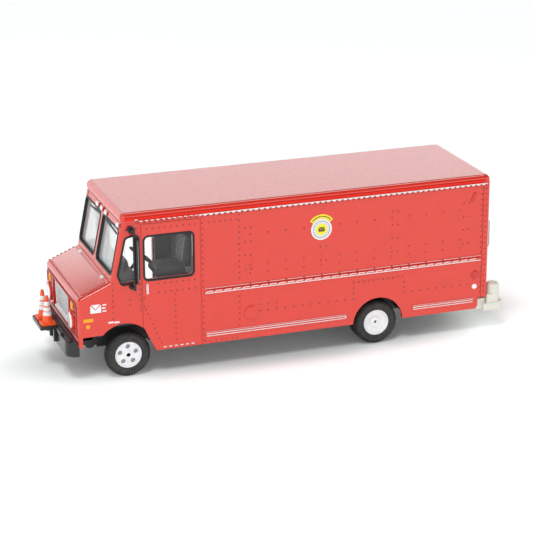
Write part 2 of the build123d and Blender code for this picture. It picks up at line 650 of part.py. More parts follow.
def make_rear_axle_case():
    """Banjo casing that hangs from the plate over the rear axle."""
    case = Pos(REAR_AXLE_X, 0, AXLE_Z) * Sphere(2.4)
    case += rod_y(REAR_AXLE_X, AXLE_Z, 1.3, -RAIL_Y + 0.95, RAIL_Y - 0.95)
    case += block((REAR_AXLE_X - 0.9, REAR_AXLE_X + 0.9), (-0.9, 0.9), (AXLE_Z + 1, PLATE_Z[0]))
    case &= block((REAR_AXLE_X - 5, REAR_AXLE_X + 5), (-8, 8), (0, PLATE_Z[0]))
    case += rod_x(0, 7.0, 0.6, REAR_AXLE_X + 2.0, 11.4 - 0.2)
    case += block((-8.0, -6.8), (-0.7, 0.7), (7.0, PLATE_Z[0]))
    return case - rod_y(REAR_AXLE_X, AXLE_Z, ROD_R + RUNNING_GAP, -9, 9)


def make_exhaust():
    """Silencer and pipe on the right, ending behind the rear wheel."""
    pipe = rod_x(EXHAUST_Y, EXHAUST_Z, 0.55, -17.0, 34.0)
    pipe += rod_x(EXHAUST_Y, EXHAUST_Z - 0.4, 1.3, 2.0, 16.0)
    for x in (-14.0, 27.0):
        pipe += block((x - 0.5, x + 0.5), (EXHAUST_Y - 0.5, EXHAUST_Y + 0.5), (EXHAUST_Z, PLATE_Z[0]))
    return pipe & block((-30, 50), (EXHAUST_Y - 3, EXHAUST_Y + 3), (0, PLATE_Z[0]))


def make_fuel_tank():
    """Square fuel tank on the left, hung from the plate on two straps."""
    tank = block(TANK_X, TANK_Y, (TANK_FOOT_Z, PLATE_Z[0]))
    tank = fillet(tank.edges().filter_by(Axis.X).group_by(Axis.Z)[0], 1.0)
    proud = 0.15
    for x in (TANK_X[0] + 4, TANK_X[1] - 4):
        strap = block((x - 0.5, x + 0.5), (TANK_Y[0] - proud, TANK_Y[1] + proud), (TANK_FOOT_Z - proud, PLATE_Z[0]))
        tank += fillet(strap.edges().filter_by(Axis.X).group_by(Axis.Z)[0], 1.0)
    return tank


# --- cab interior -----------------------------------------------------------

def make_interior():
    """Grey cab tub: floor, bulkhead, step well, seat box and dashboard."""
    half = HALF_W - WALL - GLASS_T - 0.1
    well_rear, well_front, well_y = STEP_WELL
    base = PLATE_Z[1] + FIT
    tub = block((BULKHEAD_X, 50.0), (-half, half), (FLOOR_Z - 0.9, FLOOR_Z))
    tub -= block((well_rear, well_front), (-half - 1, well_y), (FLOOR_Z - 2, FLOOR_Z + 1))
    tub += block((well_rear, well_front - 0.9), (well_y - 0.6, well_y), (base, FLOOR_Z))
    tub += block((BULKHEAD_X - 0.9, BULKHEAD_X), (-half, half), (base, 45.0))
    tub += block((BULKHEAD_X, well_rear), (-half, -half + 0.6), (base, 43.5))
    pedestal = (SEAT_Y - SEAT_HALF + 1, SEAT_Y + SEAT_HALF - 1)
    tub += block((SEAT_X[0] - 0.7, SEAT_X[1] - 2.6), pedestal, (FLOOR_Z, SEAT_Z[0]))
    tub += prism_y(polygon(DASH_FACE), -half, half)
    tub += prism_y(polygon(BINNACLE_FACE), *pedestal)
    tub += block((49.2, 50.0), (-half, half), (FLOOR_Z - 0.9, 23.0))
    return tub


def make_seat():
    """Driver's seat: a thick cushion and a reclined back."""
    cushion = block(SEAT_X, (SEAT_Y - SEAT_HALF, SEAT_Y + SEAT_HALF), SEAT_Z)
    cushion = fillet(cushion.edges().filter_by(Axis.Y), 1.2)
    x, z, lean = SEAT_BACK
    back = Pos(x, SEAT_Y, z) * Rot(0, lean, 0) * Box(*SEAT_BACK_SIZE)
    back = fillet(back.edges().filter_by(Axis.X) + back.edges().group_by(Axis.Z)[-1].filter_by(Axis.Y), 0.9)
    return cushion + back


def make_steering_wheel():
    """Rim, spokes, hub and column, leaning back at the driver's place."""
    ring = Torus(*WHEEL_RING)
    reach = 2 * WHEEL_RING[0] - 0.2
    spokes = Box(reach, 0.6, 0.4) + Box(0.6, reach, 0.4)
    hub = Cylinder(0.8, 0.8)
    column = Pos(0, 0, -3.3) * Cylinder(0.45, 6.2)
    wheel = ring + spokes + hub + column
    x, z = WHEEL_PLACE
    return Pos(x, SEAT_Y, z) * Rot(0, -WHEEL_TILT, 0) * wheel


# --- wheels -----------------------------------------------------------------

def revolve_y(points, axle_x):
    """Turn a half profile of (y, radius) points about the axle line."""
    face = Plane.YZ * polygon(points)
    turned = revolve(face, Axis.Y)
    return Pos(axle_x, 0, AXLE_Z) * turned


def make_tyre(axle_x, outer_y):
    """Tyre ring with shoulders, given by its outer sidewall position."""
    y1 = outer_y
    y0 = outer_y - TYRE_W
    profile = [
        (y0 + 0.25, RIM_R),
        (y0, RIM_R + 0.9),
        (y0 + 0.2, TYRE_R - 0.7),
        (y0 + 0.75, TYRE_R),
        (y1 - 0.75, TYRE_R),
        (y1 - 0.2, TYRE_R - 0.7),
        (y1, RIM_R + 0.9),
        (y1 - 0.25, RIM_R),
    ]
    return revolve_y(profile, axle_x)


def make_front_wheel():
    """Left front wheel: rim barrel, disc with five hand holes and a hub."""
    y1 = WHEEL_FACE_Y - 0.2
    y0 = WHEEL_FACE_Y - TYRE_W + 0.25
    profile = [
        (y0, ROD_R),
        (y0, RIM_R),
        (y1, RIM_R),
        (y1, RIM_R - 0.35),
        (y1 - 0.55, RIM_R - 0.5),
        (y1 - 0.55, 1.45),
        (y1 + 0.1, 1.15),
        (y1 + 0.1, HUB_HOLE_R[0]),
        (y1 - 0.5, HUB_HOLE_R[0]),
        (y1 - 0.5, ROD_R),
    ]
    wheel = revolve_y(profile, FRONT_AXLE_X)
    for index in range(HAND_HOLES):
        angle = math.radians(90 + index * 360 / HAND_HOLES)
        x = FRONT_AXLE_X + HAND_HOLE_RING * math.cos(angle)
        z = AXLE_Z + HAND_HOLE_RING * math.sin(angle)
        wheel -= rod_y(x, z, HAND_HOLE_R, y1 - 1.3, y1 + 1)
    return wheel


def make_rear_wheel():
    """Left rear dual wheel: deep dish outside, barrel that carries both tyres."""
    y1 = WHEEL_FACE_Y - 0.2
    y0 = WHEEL_FACE_Y - DUAL_PITCH - TYRE_W + 0.25
    profile = [
        (y0, ROD_R),
        (y0, RIM_R),
        (y1, RIM_R),
        (y1, RIM_R - 0.35),
        (y1 - 0.9, RIM_R - 0.6),
        (y1 - 1.25, 2.2),
        (y1 - 1.25, 1.5),
        (y1 - 0.55, 1.2),
        (y1 - 0.55, HUB_HOLE_R[1]),
        (y1 - 1.0, HUB_HOLE_R[1]),
        (y1 - 1.0, ROD_R),
    ]
    return revolve_y(profile, REAR_AXLE_X)


def make_axle_rod(axle_x, end_y):
    rod = rod_y(axle_x, AXLE_Z, ROD_R, -end_y, end_y)
    ends = rod.edges().filter_by(lambda e: abs(abs(e.center().Y) - end_y) < 0.01)
    return chamfer(ends, 0.15)


# --- assembly ---------------------------------------------------------------

def build_parts():
    parts = {
        "body_shell": make_body_shell(),
        "roof_cap": make_roof_cap(),
        "rear_door": make_rear_door(),
        "chassis_base": make_chassis_base(),
        "chassis_screws": make_chassis_screws(),
        "drivetrain": make_drivetrain(),
        "rear_axle_case": make_rear_axle_case(),
        "exhaust_pipe": make_exhaust(),
        "fuel_tank": make_fuel_tank(),
        "cab_interior": make_interior(),
        "driver_seat": make_seat(),
        "steering_wheel": make_steering_wheel(),
        "windshield_glazing": make_windshield_glazing(),
        "grille": make_grille(),
        "clearance_lamps": make_clearance_lamps(),
        "front_bumper": make_front_bumper(),
        "rear_bumper": make_rear_bumper(),
        "cone_tray": make_cone_tray(),
        "left_traffic_cone": make_cone(CONE_Y),
        "right_traffic_cone": make_cone(-CONE_Y),
        "front_axle_rod": make_axle_rod(FRONT_AXLE_X, WHEEL_FACE_Y - ROD_END_INSET[0]),
        "rear_axle_rod": make_axle_rod(REAR_AXLE_X, WHEEL_FACE_Y - ROD_END_INSET[1]),
    }
    door_pane, quarter_pane = side_window_faces()
    parts["left_cab_glazing"] = make_cab_glazing(DOOR_WINDOW[0] - 0.8, [door_pane, quarter_pane])
    parts["right_cab_glazing"] = mirrored(make_cab_glazing(RIGHT_DOORWAY[-2][0] + 0.4, [quarter_pane]))
    paired = {
        "wiper": make_wiper(),
        "headlamp": make_headlamp(),
        "turn_signal": make_turn_signal(),
        "tail_lamp": make_tail_lamp(),
        "mirror": make_mirror(),
        "mirror_glass": make_mirror_glass(),
        "front_wheel": make_front_wheel(),
        "front_tyre": make_tyre(FRONT_AXLE_X, WHEEL_FACE_Y),
        "rear_wheel": make_rear_wheel(),
        "rear_outer_tyre": make_tyre(REAR_AXLE_X, WHEEL_FACE_Y),
        "rear_inner_tyre": make_tyre(REAR_AXLE_X, WHEEL_FACE_Y - DUAL_PITCH),
    }
    for name, shape in paired.items():
        parts["left_" + name] = shape
        parts["right_" + name] = mirrored(shape)
    return parts


def main():
    os.makedirs("parts", exist_ok=True)
    for name, shape in build_parts().items():
        export_step(shape, f"parts/{name}.step")
        print(name, round(shape.volume, 2))


main()
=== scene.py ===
"""Looks of a small die-cast delivery step van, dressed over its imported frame.

Every shape is worked out in millimetres in the truck's own frame: +X forward, +Y to the truck's
left, +Z up, the ground at Z = 0. A shape becomes a piece in metres when it is made.
"""

import json
import logging
import math
from dataclasses import dataclass, field
from enum import Enum

import bmesh
import bpy
import numpy as np
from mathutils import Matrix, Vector


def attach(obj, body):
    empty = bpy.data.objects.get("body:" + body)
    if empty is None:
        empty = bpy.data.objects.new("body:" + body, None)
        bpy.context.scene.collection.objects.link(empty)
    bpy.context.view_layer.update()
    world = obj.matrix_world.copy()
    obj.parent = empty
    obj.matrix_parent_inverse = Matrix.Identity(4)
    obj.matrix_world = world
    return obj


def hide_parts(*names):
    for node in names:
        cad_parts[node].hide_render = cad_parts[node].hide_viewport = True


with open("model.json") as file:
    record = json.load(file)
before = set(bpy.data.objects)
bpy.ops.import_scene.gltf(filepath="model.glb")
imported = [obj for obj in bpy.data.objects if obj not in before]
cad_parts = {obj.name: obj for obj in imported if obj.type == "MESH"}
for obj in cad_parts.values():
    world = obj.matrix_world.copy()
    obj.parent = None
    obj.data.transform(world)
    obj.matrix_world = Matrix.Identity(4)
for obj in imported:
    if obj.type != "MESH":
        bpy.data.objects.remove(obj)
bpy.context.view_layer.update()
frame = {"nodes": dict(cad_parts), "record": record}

MM = 0.001
LOG = logging.getLogger("step_van")
Pair = tuple[float, float]
Triple = tuple[float, float, float]

TRUCK = "truck"
FRONT_AXLE = "front_axle"
REAR_AXLE = "rear_axle"
LAMP_BAY = 12.8  # the middle of a lamp bay, from the middle of the nose
BADGE = (-10.5, 37.7)  # the middle of the printed badge, in X and Z
BOTH_WAYS = (1, -1)  # the signs of two pieces laid either side of the middle


class Side(Enum):
    """The truck's two sides, valued by the sign of their Y."""

    LEFT = 1
    RIGHT = -1

    @property
    def word(self) -> str:
        """The side's name as piece names use it."""
        return self.name.lower()


# --- shapes ------------------------------------------------------------------


@dataclass
class Shape:
    """Points in millimetres, four-sided faces, and rings that one face closes.

    Attributes:
        points: an (n, 3) array.
        quads: an (m, 4) array of indices.
        rings: index arrays, each the outline of one closing face.
    """

    points: np.ndarray
    quads: np.ndarray
    rings: list[np.ndarray] = field(default_factory=list)

    @classmethod
    def sheet(cls, grid: np.ndarray, wrap_rows: bool = False, wrap_cols: bool = False,
              caps: bool = False) -> "Shape":
        """Makes a surface from a grid of points.

        Each face joins a point to its next neighbour along the rows and along the columns.

        Args:
            grid: a (rows, cols, 3) array.
            wrap_rows: whether the last row joins the first.
            wrap_cols: whether the last column joins the first.
            caps: whether the first and last row are each closed with a face.

        Returns:
            The shape.
        """
        rows, cols = grid.shape[:2]
        index = np.arange(rows * cols).reshape(rows, cols)
        if wrap_rows:
            index = np.vstack([index, index[:1]])
        if wrap_cols:
            index = np.hstack([index, index[:, :1]])
        corners = [index[:-1, :-1], index[1:, :-1], index[1:, 1:], index[:-1, 1:]]
        quads = np.stack(corners, -1).reshape(-1, 4)
        ends = [np.arange(cols), np.arange(cols) + (rows - 1) * cols] if caps else []
        return cls(grid.reshape(-1, 3), quads, ends)

    def __add__(self, other: "Shape") -> "Shape":
        """Joins two shapes into one."""
        step = len(self.points)
        rings = self.rings + [ring + step for ring in other.rings]
        points = np.vstack([self.points, other.points])
        return Shape(points, np.vstack([self.quads, other.quads + step]), rings)

    def moved(self, offset: np.ndarray, turn: np.ndarray | None = None) -> "Shape":
        """Turns the shape by a 3 by 3 matrix, then shifts it.

        Args:
            offset: the shift in millimetres.
            turn: the matrix, or None for no turn.

        Returns:
            A new shape.
        """
        points = self.points if turn is None else self.points @ np.asarray(turn).T
        return Shape(points + np.asarray(offset), self.quads, self.rings)

    def repeated(self, places: np.ndarray, turns: np.ndarray | None = None) -> "Shape":
        """Copies the shape to many places at once.

        Args:
            places: a (k, 3) array of shifts.
            turns: a (k, 3, 3) array of turning matrices, or None.

        Returns:
            One shape that holds all the copies.
        """
        places = np.asarray(places, float)
        count, size = len(places), len(self.points)
        if turns is None:
            points = self.points[None] + places[:, None]
        else:
            points = np.einsum("kij,nj->kni", turns, self.points) + places[:, None]
        steps = np.arange(count) * size
        quads = (self.quads[None] + steps[:, None, None]).reshape(-1, 4)
        rings = [ring + step for step in steps for ring in self.rings]
        return Shape(points.reshape(-1, 3), quads, rings)

    def mirrored(self) -> "Shape":
        """The same shape on the truck's other side."""
        return Shape(self.points * np.array([1.0, -1.0, 1.0]), self.quads, self.rings)


@dataclass(frozen=True)
class Facing:
    """A flat place on the truck that shapes are laid on.

    Attributes:
        origin: the place's zero point in millimetres.
        across: unit vector of the first local direction.
        along: unit vector of the second local direction.
        out: unit vector away from the truck.
    """

    origin: Triple
    across: Triple
    along: Triple
    out: Triple

    @property
    def matrix(self) -> np.ndarray:
        """The turning matrix from local to truck directions."""
        return np.array([self.across, self.along, self.out], float).T

    def place(self, shape: Shape) -> Shape:
        """Puts a shape drawn in local (across, along, out) on the truck."""
        return shape.moved(self.origin, self.matrix)


def arc(start: float, end: float, steps: int) -> np.ndarray:
    """Angles in radians, evenly spaced from start to end in degrees."""
    return np.radians(np.linspace(start, end, steps))


def full_turn(steps: int) -> np.ndarray:
    """Angles in radians, evenly spaced once round, the last short of the first."""
    return np.linspace(0, 2 * np.pi, steps, endpoint=False)


def ellipse(angle: np.ndarray, across: float, along: float,
            centre: Pair = (0.0, 0.0)) -> np.ndarray:
    """Points at some angles on an ellipse: centre + (across * cosine, along * sine)."""
    return np.stack([centre[0] + across * np.cos(angle), centre[1] + along * np.sin(angle)], -1)


def spins(angle: np.ndarray) -> np.ndarray:
    """Matrices that turn about the local third axis by each angle."""
    none, one = np.zeros_like(angle), np.ones_like(angle)
    cosine, sine = np.cos(angle), np.sin(angle)
    rows = [cosine, -sine, none, sine, cosine, none, none, none, one]
    return np.stack(rows, -1).reshape(-1, 3, 3)


def rounded_outline(corners: np.ndarray, radius: float, steps: int = 7) -> np.ndarray:
    """Rounds every corner of a convex polygon.

    Each corner is replaced by the arc that touches both of its edges: its centre lies on the
    corner's bisector, and its points turn evenly from one edge's normal to the next edge's.

    Args:
        corners: a (k, 2) array, counter-clockwise.
        radius: the arcs' radius.
        steps: points on each arc.

    Returns:
        A (k * steps, 2) array.
    """
    here = np.asarray(corners, float)
    into = here - np.roll(here, 1, 0)
    away = np.roll(here, -1, 0) - here
    into /= np.linalg.norm(into, axis=1)[:, None]
    away /= np.linalg.norm(away, axis=1)[:, None]
    first = np.arctan2(-into[:, 0], into[:, 1])
    cross = into[:, 0] * away[:, 1] - into[:, 1] * away[:, 0]
    turn = np.arctan2(cross, (into * away).sum(1))
    bisector = away - into
    bisector /= np.linalg.norm(bisector, axis=1)[:, None]
    centre = here + bisector * (radius / np.cos(turn / 2))[:, None]
    angle = first[:, None] + turn[:, None] * np.linspace(0, 1, steps)[None]
    ring = centre[:, None] + radius * np.stack([np.cos(angle), np.sin(angle)], -1)
    return ring.reshape(-1, 2)


def rectangle(width: float, height: float, centre: Pair = (0.0, 0.0)) -> np.ndarray:
    """Corners of a rectangle, counter-clockwise."""
    signs = np.array([(-1, -1), (1, -1), (1, 1), (-1, 1)], float)
    return signs * (width / 2, height / 2) + centre


def disc_outline(radius: float, centre: Pair = (0.0, 0.0),
                 steps: int = 48) -> np.ndarray:
    """Points round a circle, counter-clockwise."""
    return ellipse(full_turn(steps), radius, radius, centre)


def outward(outline: np.ndarray) -> np.ndarray:
    """Unit vectors that point out of a counter-clockwise outline at its points."""
    tangent = np.roll(outline, -1, 0) - np.roll(outline, 1, 0)
    normal = np.stack([tangent[:, 1], -tangent[:, 0]], -1)
    return normal / np.linalg.norm(normal, axis=1)[:, None]


def frame_ring(outline: np.ndarray, section: np.ndarray) -> Shape:
    """Carries a closed section round an outline.

    A section point (s, h) becomes outline + s * outward normal, at height h.

    Args:
        outline: an (n, 2) array.
        section: an (m, 2) array of (s, h).

    Returns:
        A closed ring.
    """
    normal = outward(outline)
    flat = outline[:, None] + normal[:, None] * section[None, :, :1]
    height = np.broadcast_to(section[None, :, 1:], flat.shape[:2] + (1,))
    return Shape.sheet(np.concatenate([flat, height], -1), wrap_rows=True, wrap_cols=True)


def raised_plate(outline: np.ndarray, height: float, bevel: float, base: float = 0.0) -> Shape:
    """A plate with a rounded upper edge.

    Its rings run from the foot up the side, then in by the bevel along a quarter circle.

    Args:
        outline: an (n, 2) array.
        height: the top's height over the base.
        bevel: the edge's radius.
        base: the foot's height.

    Returns:
        A closed plate.
    """
    turn = arc(0, 90, 4)
    inset = np.concatenate([[0.0], bevel * (1 - np.cos(turn))])
    level = np.concatenate([[base], base + height - bevel + bevel * np.sin(turn)])
    normal = outward(outline)
    flat = outline[None] - normal[None] * inset[:, None, None]
    rise = np.broadcast_to(level[:, None, None], flat.shape[:2] + (1,))
    return Shape.sheet(np.concatenate([flat, rise], -1), wrap_cols=True, caps=True)


def lathe(profile: np.ndarray, steps: int = 64, closed: bool = False) -> Shape:
    """Turns a profile of (radius, height) about the local third axis."""
    angle = full_turn(steps)
    radius, height = np.asarray(profile, float).T
    grid = np.stack([
        radius[:, None] * np.cos(angle)[None],
        radius[:, None] * np.sin(angle)[None],
        np.broadcast_to(height[:, None], (len(radius), steps)),
    ], -1)
    return Shape.sheet(grid, wrap_rows=closed, wrap_cols=True, caps=not closed)


def tube(path: np.ndarray, radius: float, sides: int = 12) -> Shape:
    """Carries a circle along a path of points, square to its direction."""
    path = np.asarray(path, float)
    tangent = np.gradient(path, axis=0)
    tangent /= np.linalg.norm(tangent, axis=1)[:, None]
    helper = np.where(np.abs(tangent[:, 2:]) > 0.9, [[1.0, 0.0, 0.0]], [[0.0, 0.0, 1.0]])
    first = np.cross(tangent, helper)
    first /= np.linalg.norm(first, axis=1)[:, None]
    second = np.cross(tangent, first)
    cosine, sine = (wave(full_turn(sides))[None, :, None] for wave in (np.cos, np.sin))
    ring = first[:, None] * cosine + second[:, None] * sine
    return Shape.sheet(path[:, None] + radius * ring, wrap_cols=True, caps=True)


def dome(radius: float, height: float, sides: int = 8, root: float = 0.08) -> Shape:
    """A rivet head: rings that shrink with the cosine and rise with the sine of one angle.

    Args:
        radius: the head's radius.
        height: how far it stands out.
        sides: points on each ring.
        root: how deep it starts under the face.

    Returns:
        The head about the local third axis.
    """
    turn = arc(0, 80, 4)
    profile = ellipse(turn, radius, height / math.sin(turn[-1]))
    return lathe(np.vstack([[radius, -root], profile]), sides)


def make_piece(name: str, shape: Shape, material: bpy.types.Material, slot: str, body: str = TRUCK,
               replaces: tuple[str, ...] = (), crease: float = 32.0) -> None:
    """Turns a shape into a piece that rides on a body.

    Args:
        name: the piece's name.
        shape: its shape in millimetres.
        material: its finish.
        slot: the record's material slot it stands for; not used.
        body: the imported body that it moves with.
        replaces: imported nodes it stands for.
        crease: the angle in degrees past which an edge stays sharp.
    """
    mesh = bpy.data.meshes.new(name)
    faces = shape.quads.tolist() + [ring.tolist() for ring in shape.rings]
    mesh.from_pydata((shape.points * MM).tolist(), [], faces)
    work = bmesh.new()
    work.from_mesh(mesh)
    bmesh.ops.remove_doubles(work, verts=work.verts, dist=1e-8)
    bmesh.ops.dissolve_degenerate(work, edges=work.edges, dist=1e-9)
    bmesh.ops.recalc_face_normals(work, faces=work.faces)
    work.to_mesh(mesh)
    work.free()
    mesh.shade_smooth()
    mesh.set_sharp_from_angle(angle=math.radians(crease))
    mesh.materials.append(material)
    piece = bpy.data.objects.new(name, mesh)
    bpy.context.scene.collection.objects.link(piece)
    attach(piece, body)
    if replaces:
        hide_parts(*replaces)
    LOG.info("piece %s: %d faces on %s", name, len(mesh.polygons), body)


# --- finishes ----------------------------------------------------------------


class Nodes:
    """A material's node tree while it is being built."""

    def __init__(self, name: str) -> None:
        """Starts an empty tree with a Principled shader and an output.

        Args:
            name: the material's name.
        """
        self.material = bpy.data.materials.new(name)
        self.material.use_nodes = True
        self.tree = self.material.node_tree
        self.tree.nodes.clear()
        self.shader = self.add("ShaderNodeBsdfPrincipled")
        output = self.add("ShaderNodeOutputMaterial")
        self.link(self.shader, "BSDF", output, "Surface")
        self.place = self.add("ShaderNodeTexCoord")

    def add(self, kind: str, **values: object) -> bpy.types.Node:
        """Adds a node and sets its inputs by name, with spaces written as underscores."""
        node = self.tree.nodes.new(kind)
        for key, value in values.items():
            node.inputs[key.replace("_", " ")].default_value = value
        return node

    def link(self, source: bpy.types.Node, output: str | int, target: bpy.types.Node,
             entry: str | int) -> None:
        """Joins one node's output to another's input."""
        self.tree.links.new(source.outputs[output], target.inputs[entry])

    def noise(self, scale: float, detail: float = 3.0, roughness: float = 0.5) -> bpy.types.Node:
        """Adds a noise on Object coordinates, scale being waves per metre."""
        node = self.add("ShaderNodeTexNoise", Scale=scale, Detail=detail, Roughness=roughness)
        self.link(self.place, "Object", node, "Vector")
        return node

    def spread(self, source: bpy.types.Node, low: float, high: float) -> bpy.types.Node:
        """Maps a noise's middle range to a pair of values."""
        node = self.add("ShaderNodeMapRange", From_Min=0.3, From_Max=0.7, To_Min=low, To_Max=high)
        self.link(source, "Fac" if "Fac" in source.outputs else 0, node, "Value")
        return node

    def vary_color(self, source: bpy.types.Node, color: tuple[float, ...], low: float,
                   high: float) -> None:
        """Lets the base colour wander with a noise.

        Args:
            source: the noise.
            color: the middle colour.
            low: its factor where the noise is low.
            high: its factor where the noise is high.
        """
        ramp = self.add("ShaderNodeValToRGB")
        for stop, place, factor in zip(ramp.color_ramp.elements, (0.35, 0.65), (low, high)):
            stop.position = place
            stop.color = (*shade(color, factor), 1.0)
        self.link(source, "Fac", ramp, "Fac")
        self.link(ramp, "Color", self.shader, "Base Color")

    def vary_roughness(self, source: bpy.types.Node, limits: Pair) -> None:
        """Lets the roughness wander between two limits with a noise."""
        self.link(self.spread(source, *limits), 0, self.shader, "Roughness")

    def relief(self, source: bpy.types.Node, strength: float, depth: float,
               soften: float = 0.0) -> None:
        """Adds a fine bump, over edges softened by a small radius where one is given.

        Args:
            source: the height's node.
            strength: the bump's share.
            depth: the bump's height in metres.
            soften: the edge radius in metres, or 0 for none.
        """
        bump = self.add("ShaderNodeBump", Strength=strength, Distance=depth)
        self.link(source, 0, bump, "Height")
        if soften:
            edge = self.add("ShaderNodeBevel", Radius=soften)
            edge.samples = 6
            self.link(edge, "Normal", bump, "Normal")
        self.link(bump, "Normal", self.shader, "Normal")

    def set(self, **values: object) -> None:
        """Sets constants on the shader's own sockets."""
        for key, value in values.items():
            self.shader.inputs[key.replace("_", " ")].default_value = value


def shade(color: Triple, factor: float) -> Triple:
    """A colour made lighter or darker by a factor."""
    return tuple(min(1.0, channel * factor) for channel in color)


@dataclass(frozen=True)
class Look:
    """A material's name and colour, and how its nodes are set.

    Attributes:
        name: the material's name.
        color: its middle colour.
    """

    name: str
    color: Triple

    def dress(self, nodes: Nodes) -> None:
        """Sets the nodes. Each kind of look has its own way.

        Args:
            nodes: the new material's tree.
        """
        raise NotImplementedError

    def build(self) -> bpy.types.Material:
        """Makes the material."""
        nodes = Nodes(self.name)
        self.dress(nodes)
        return nodes.material


@dataclass(frozen=True)
class CastPaint(Look):
    """Sprayed gloss paint on a zinc casting: faint orange peel, soft edges, a clear coat.

    Attributes:
        roughness: its limits.
        edge: how wide an edge is softened, in metres.
    """

    name: str = "cast_paint"
    color: Triple = (0.72, 0.021, 0.007)
    roughness: Pair = (0.3, 0.38)
    edge: float = 0.14 * MM

    def dress(self, nodes: Nodes) -> None:
        """Sets the nodes."""
        nodes.vary_color(nodes.noise(260.0, 4.0), self.color, 0.97, 1.02)
        nodes.vary_roughness(nodes.noise(700.0), self.roughness)
        nodes.relief(nodes.noise(2600.0, 2.0), 0.25, 0.004 * MM, self.edge)
        nodes.set(Coat_Weight=1.0, Coat_Roughness=0.1, Coat_IOR=1.5,
                  Specular_Tint=(1.0, 0.94, 0.84, 1.0))


@dataclass(frozen=True)
class Moulded(Look):
    """Injection-moulded plastic: fine spark texture and a slight colour drift.

    Attributes:
        roughness: its limits.
        grain: the texture's depth in metres.
        edge: how wide an edge is softened, in metres.
        drift: how far the colour wanders, as a share.
        subsurface: the share of light scattered inside.
    """

    roughness: Pair = (0.38, 0.5)
    grain: float = 0.006 * MM
    edge: float = 0.08 * MM
    drift: float = 0.08
    subsurface: float = 0.0

    def dress(self, nodes: Nodes) -> None:
        """Sets the nodes."""
        nodes.vary_color(nodes.noise(420.0, 3.0), self.color, 1 - self.drift, 1 + self.drift)
        nodes.vary_roughness(nodes.noise(1500.0), self.roughness)
        nodes.relief(nodes.noise(7000.0, 2.0), 0.35, self.grain, self.edge)
        if self.subsurface:
            nodes.set(Subsurface_Weight=self.subsurface, Subsurface_Scale=0.6 * MM)


@dataclass(frozen=True)
class PadPrint(Look):
    """Opaque ink printed on raised detail, thin at places; some copies paint highlight or shade on
    the body.

    Attributes:
        metallic: the ink's metal share.
        roughness: its limits.
        specular: how strongly it mirrors.
    """

    metallic: float = 0.0
    roughness: Pair = (0.3, 0.45)
    specular: float = 0.5

    def dress(self, nodes: Nodes) -> None:
        """Sets the nodes."""
        nodes.vary_color(nodes.noise(2200.0, 4.0, 0.7), self.color, 0.86, 1.05)
        nodes.vary_roughness(nodes.noise(900.0), self.roughness)
        nodes.relief(nodes.noise(5200.0, 3.0), 0.3, 0.006 * MM)
        nodes.set(Metallic=self.metallic, Specular_IOR_Level=self.specular)


@dataclass(frozen=True)
class TyreRubber(Look):
    """Black vinyl tyre: matte, lighter with dust in random patches."""

    name: str = "tyre_rubber"
    color: Triple = (0.019, 0.019, 0.018)

    def dress(self, nodes: Nodes) -> None:
        """Sets the nodes."""
        nodes.vary_color(nodes.noise(900.0, 5.0, 0.6), self.color, 1.0, 2.1)
        nodes.vary_roughness(nodes.noise(1800.0), (0.55, 0.78))
        nodes.relief(nodes.noise(6000.0, 4.0), 0.5, 0.012 * MM, 0.05 * MM)


@dataclass(frozen=True)
class ClearSheet(Look):
    """Clear moulded windows: see-through face on, milky and glossy at a slant.

    Attributes:
        veil: how much of the pale colour, a painted reflection, shows face on and at a slant.
        slant: the mirror shares at which the veil is thinnest and thickest.
    """

    name: str = "clear_sheet"
    color: Triple = (0.86, 0.90, 0.90)
    veil: Pair = (0.035, 0.52)
    slant: Pair = (0.036, 0.14)

    def dress(self, nodes: Nodes) -> None:
        """Sets the nodes."""
        nodes.vary_roughness(nodes.noise(800.0), (0.02, 0.08))
        nodes.relief(nodes.noise(500.0, 1.0), 0.08, 0.01 * MM)
        # the pale base colour shows more at a slant: painted reflection of the bright surround
        mirror = nodes.add("ShaderNodeLayerWeight", Blend=0.3)
        share = nodes.add("ShaderNodeMapRange", From_Min=self.slant[0], From_Max=self.slant[1],
                          To_Min=self.veil[0], To_Max=self.veil[1])
        nodes.link(mirror, "Fresnel", share, "Value")
        nodes.link(share, "Result", nodes.shader, "Alpha")
        nodes.set(Base_Color=(*self.color, 1.0), Coat_Weight=1.0, Coat_Roughness=0.03)


@dataclass(frozen=True)
class LampLens(Look):
    """Tinted lamp plastic with light scattered inside."""

    def dress(self, nodes: Nodes) -> None:
        """Sets the nodes."""
        nodes.vary_color(nodes.noise(1500.0), self.color, 0.9, 1.08)
        nodes.vary_roughness(nodes.noise(1200.0), (0.1, 0.2))
        nodes.relief(nodes.noise(4000.0), 0.25, 0.01 * MM, 0.08 * MM)
        nodes.set(Coat_Weight=0.6, Coat_Roughness=0.05, Subsurface_Weight=0.25,
                  Subsurface_Scale=0.5 * MM)


@dataclass(frozen=True)
class BareMetal(Look):
    """Bare metal: a fine grain in its colour, gloss and surface.

    Attributes:
        roughness: its limits.
    """

    color: Triple = (0.62, 0.63, 0.65)
    roughness: Pair = (0.2, 0.38)

    def dress(self, nodes: Nodes) -> None:
        """Sets the nodes."""
        nodes.vary_color(nodes.noise(1600.0, 5.0), self.color, 0.85, 1.1)
        nodes.vary_roughness(nodes.noise(3200.0, 5.0), self.roughness)
        nodes.relief(nodes.noise(6400.0, 4.0), 0.2, 0.004 * MM, 0.05 * MM)
        nodes.set(Metallic=1.0)


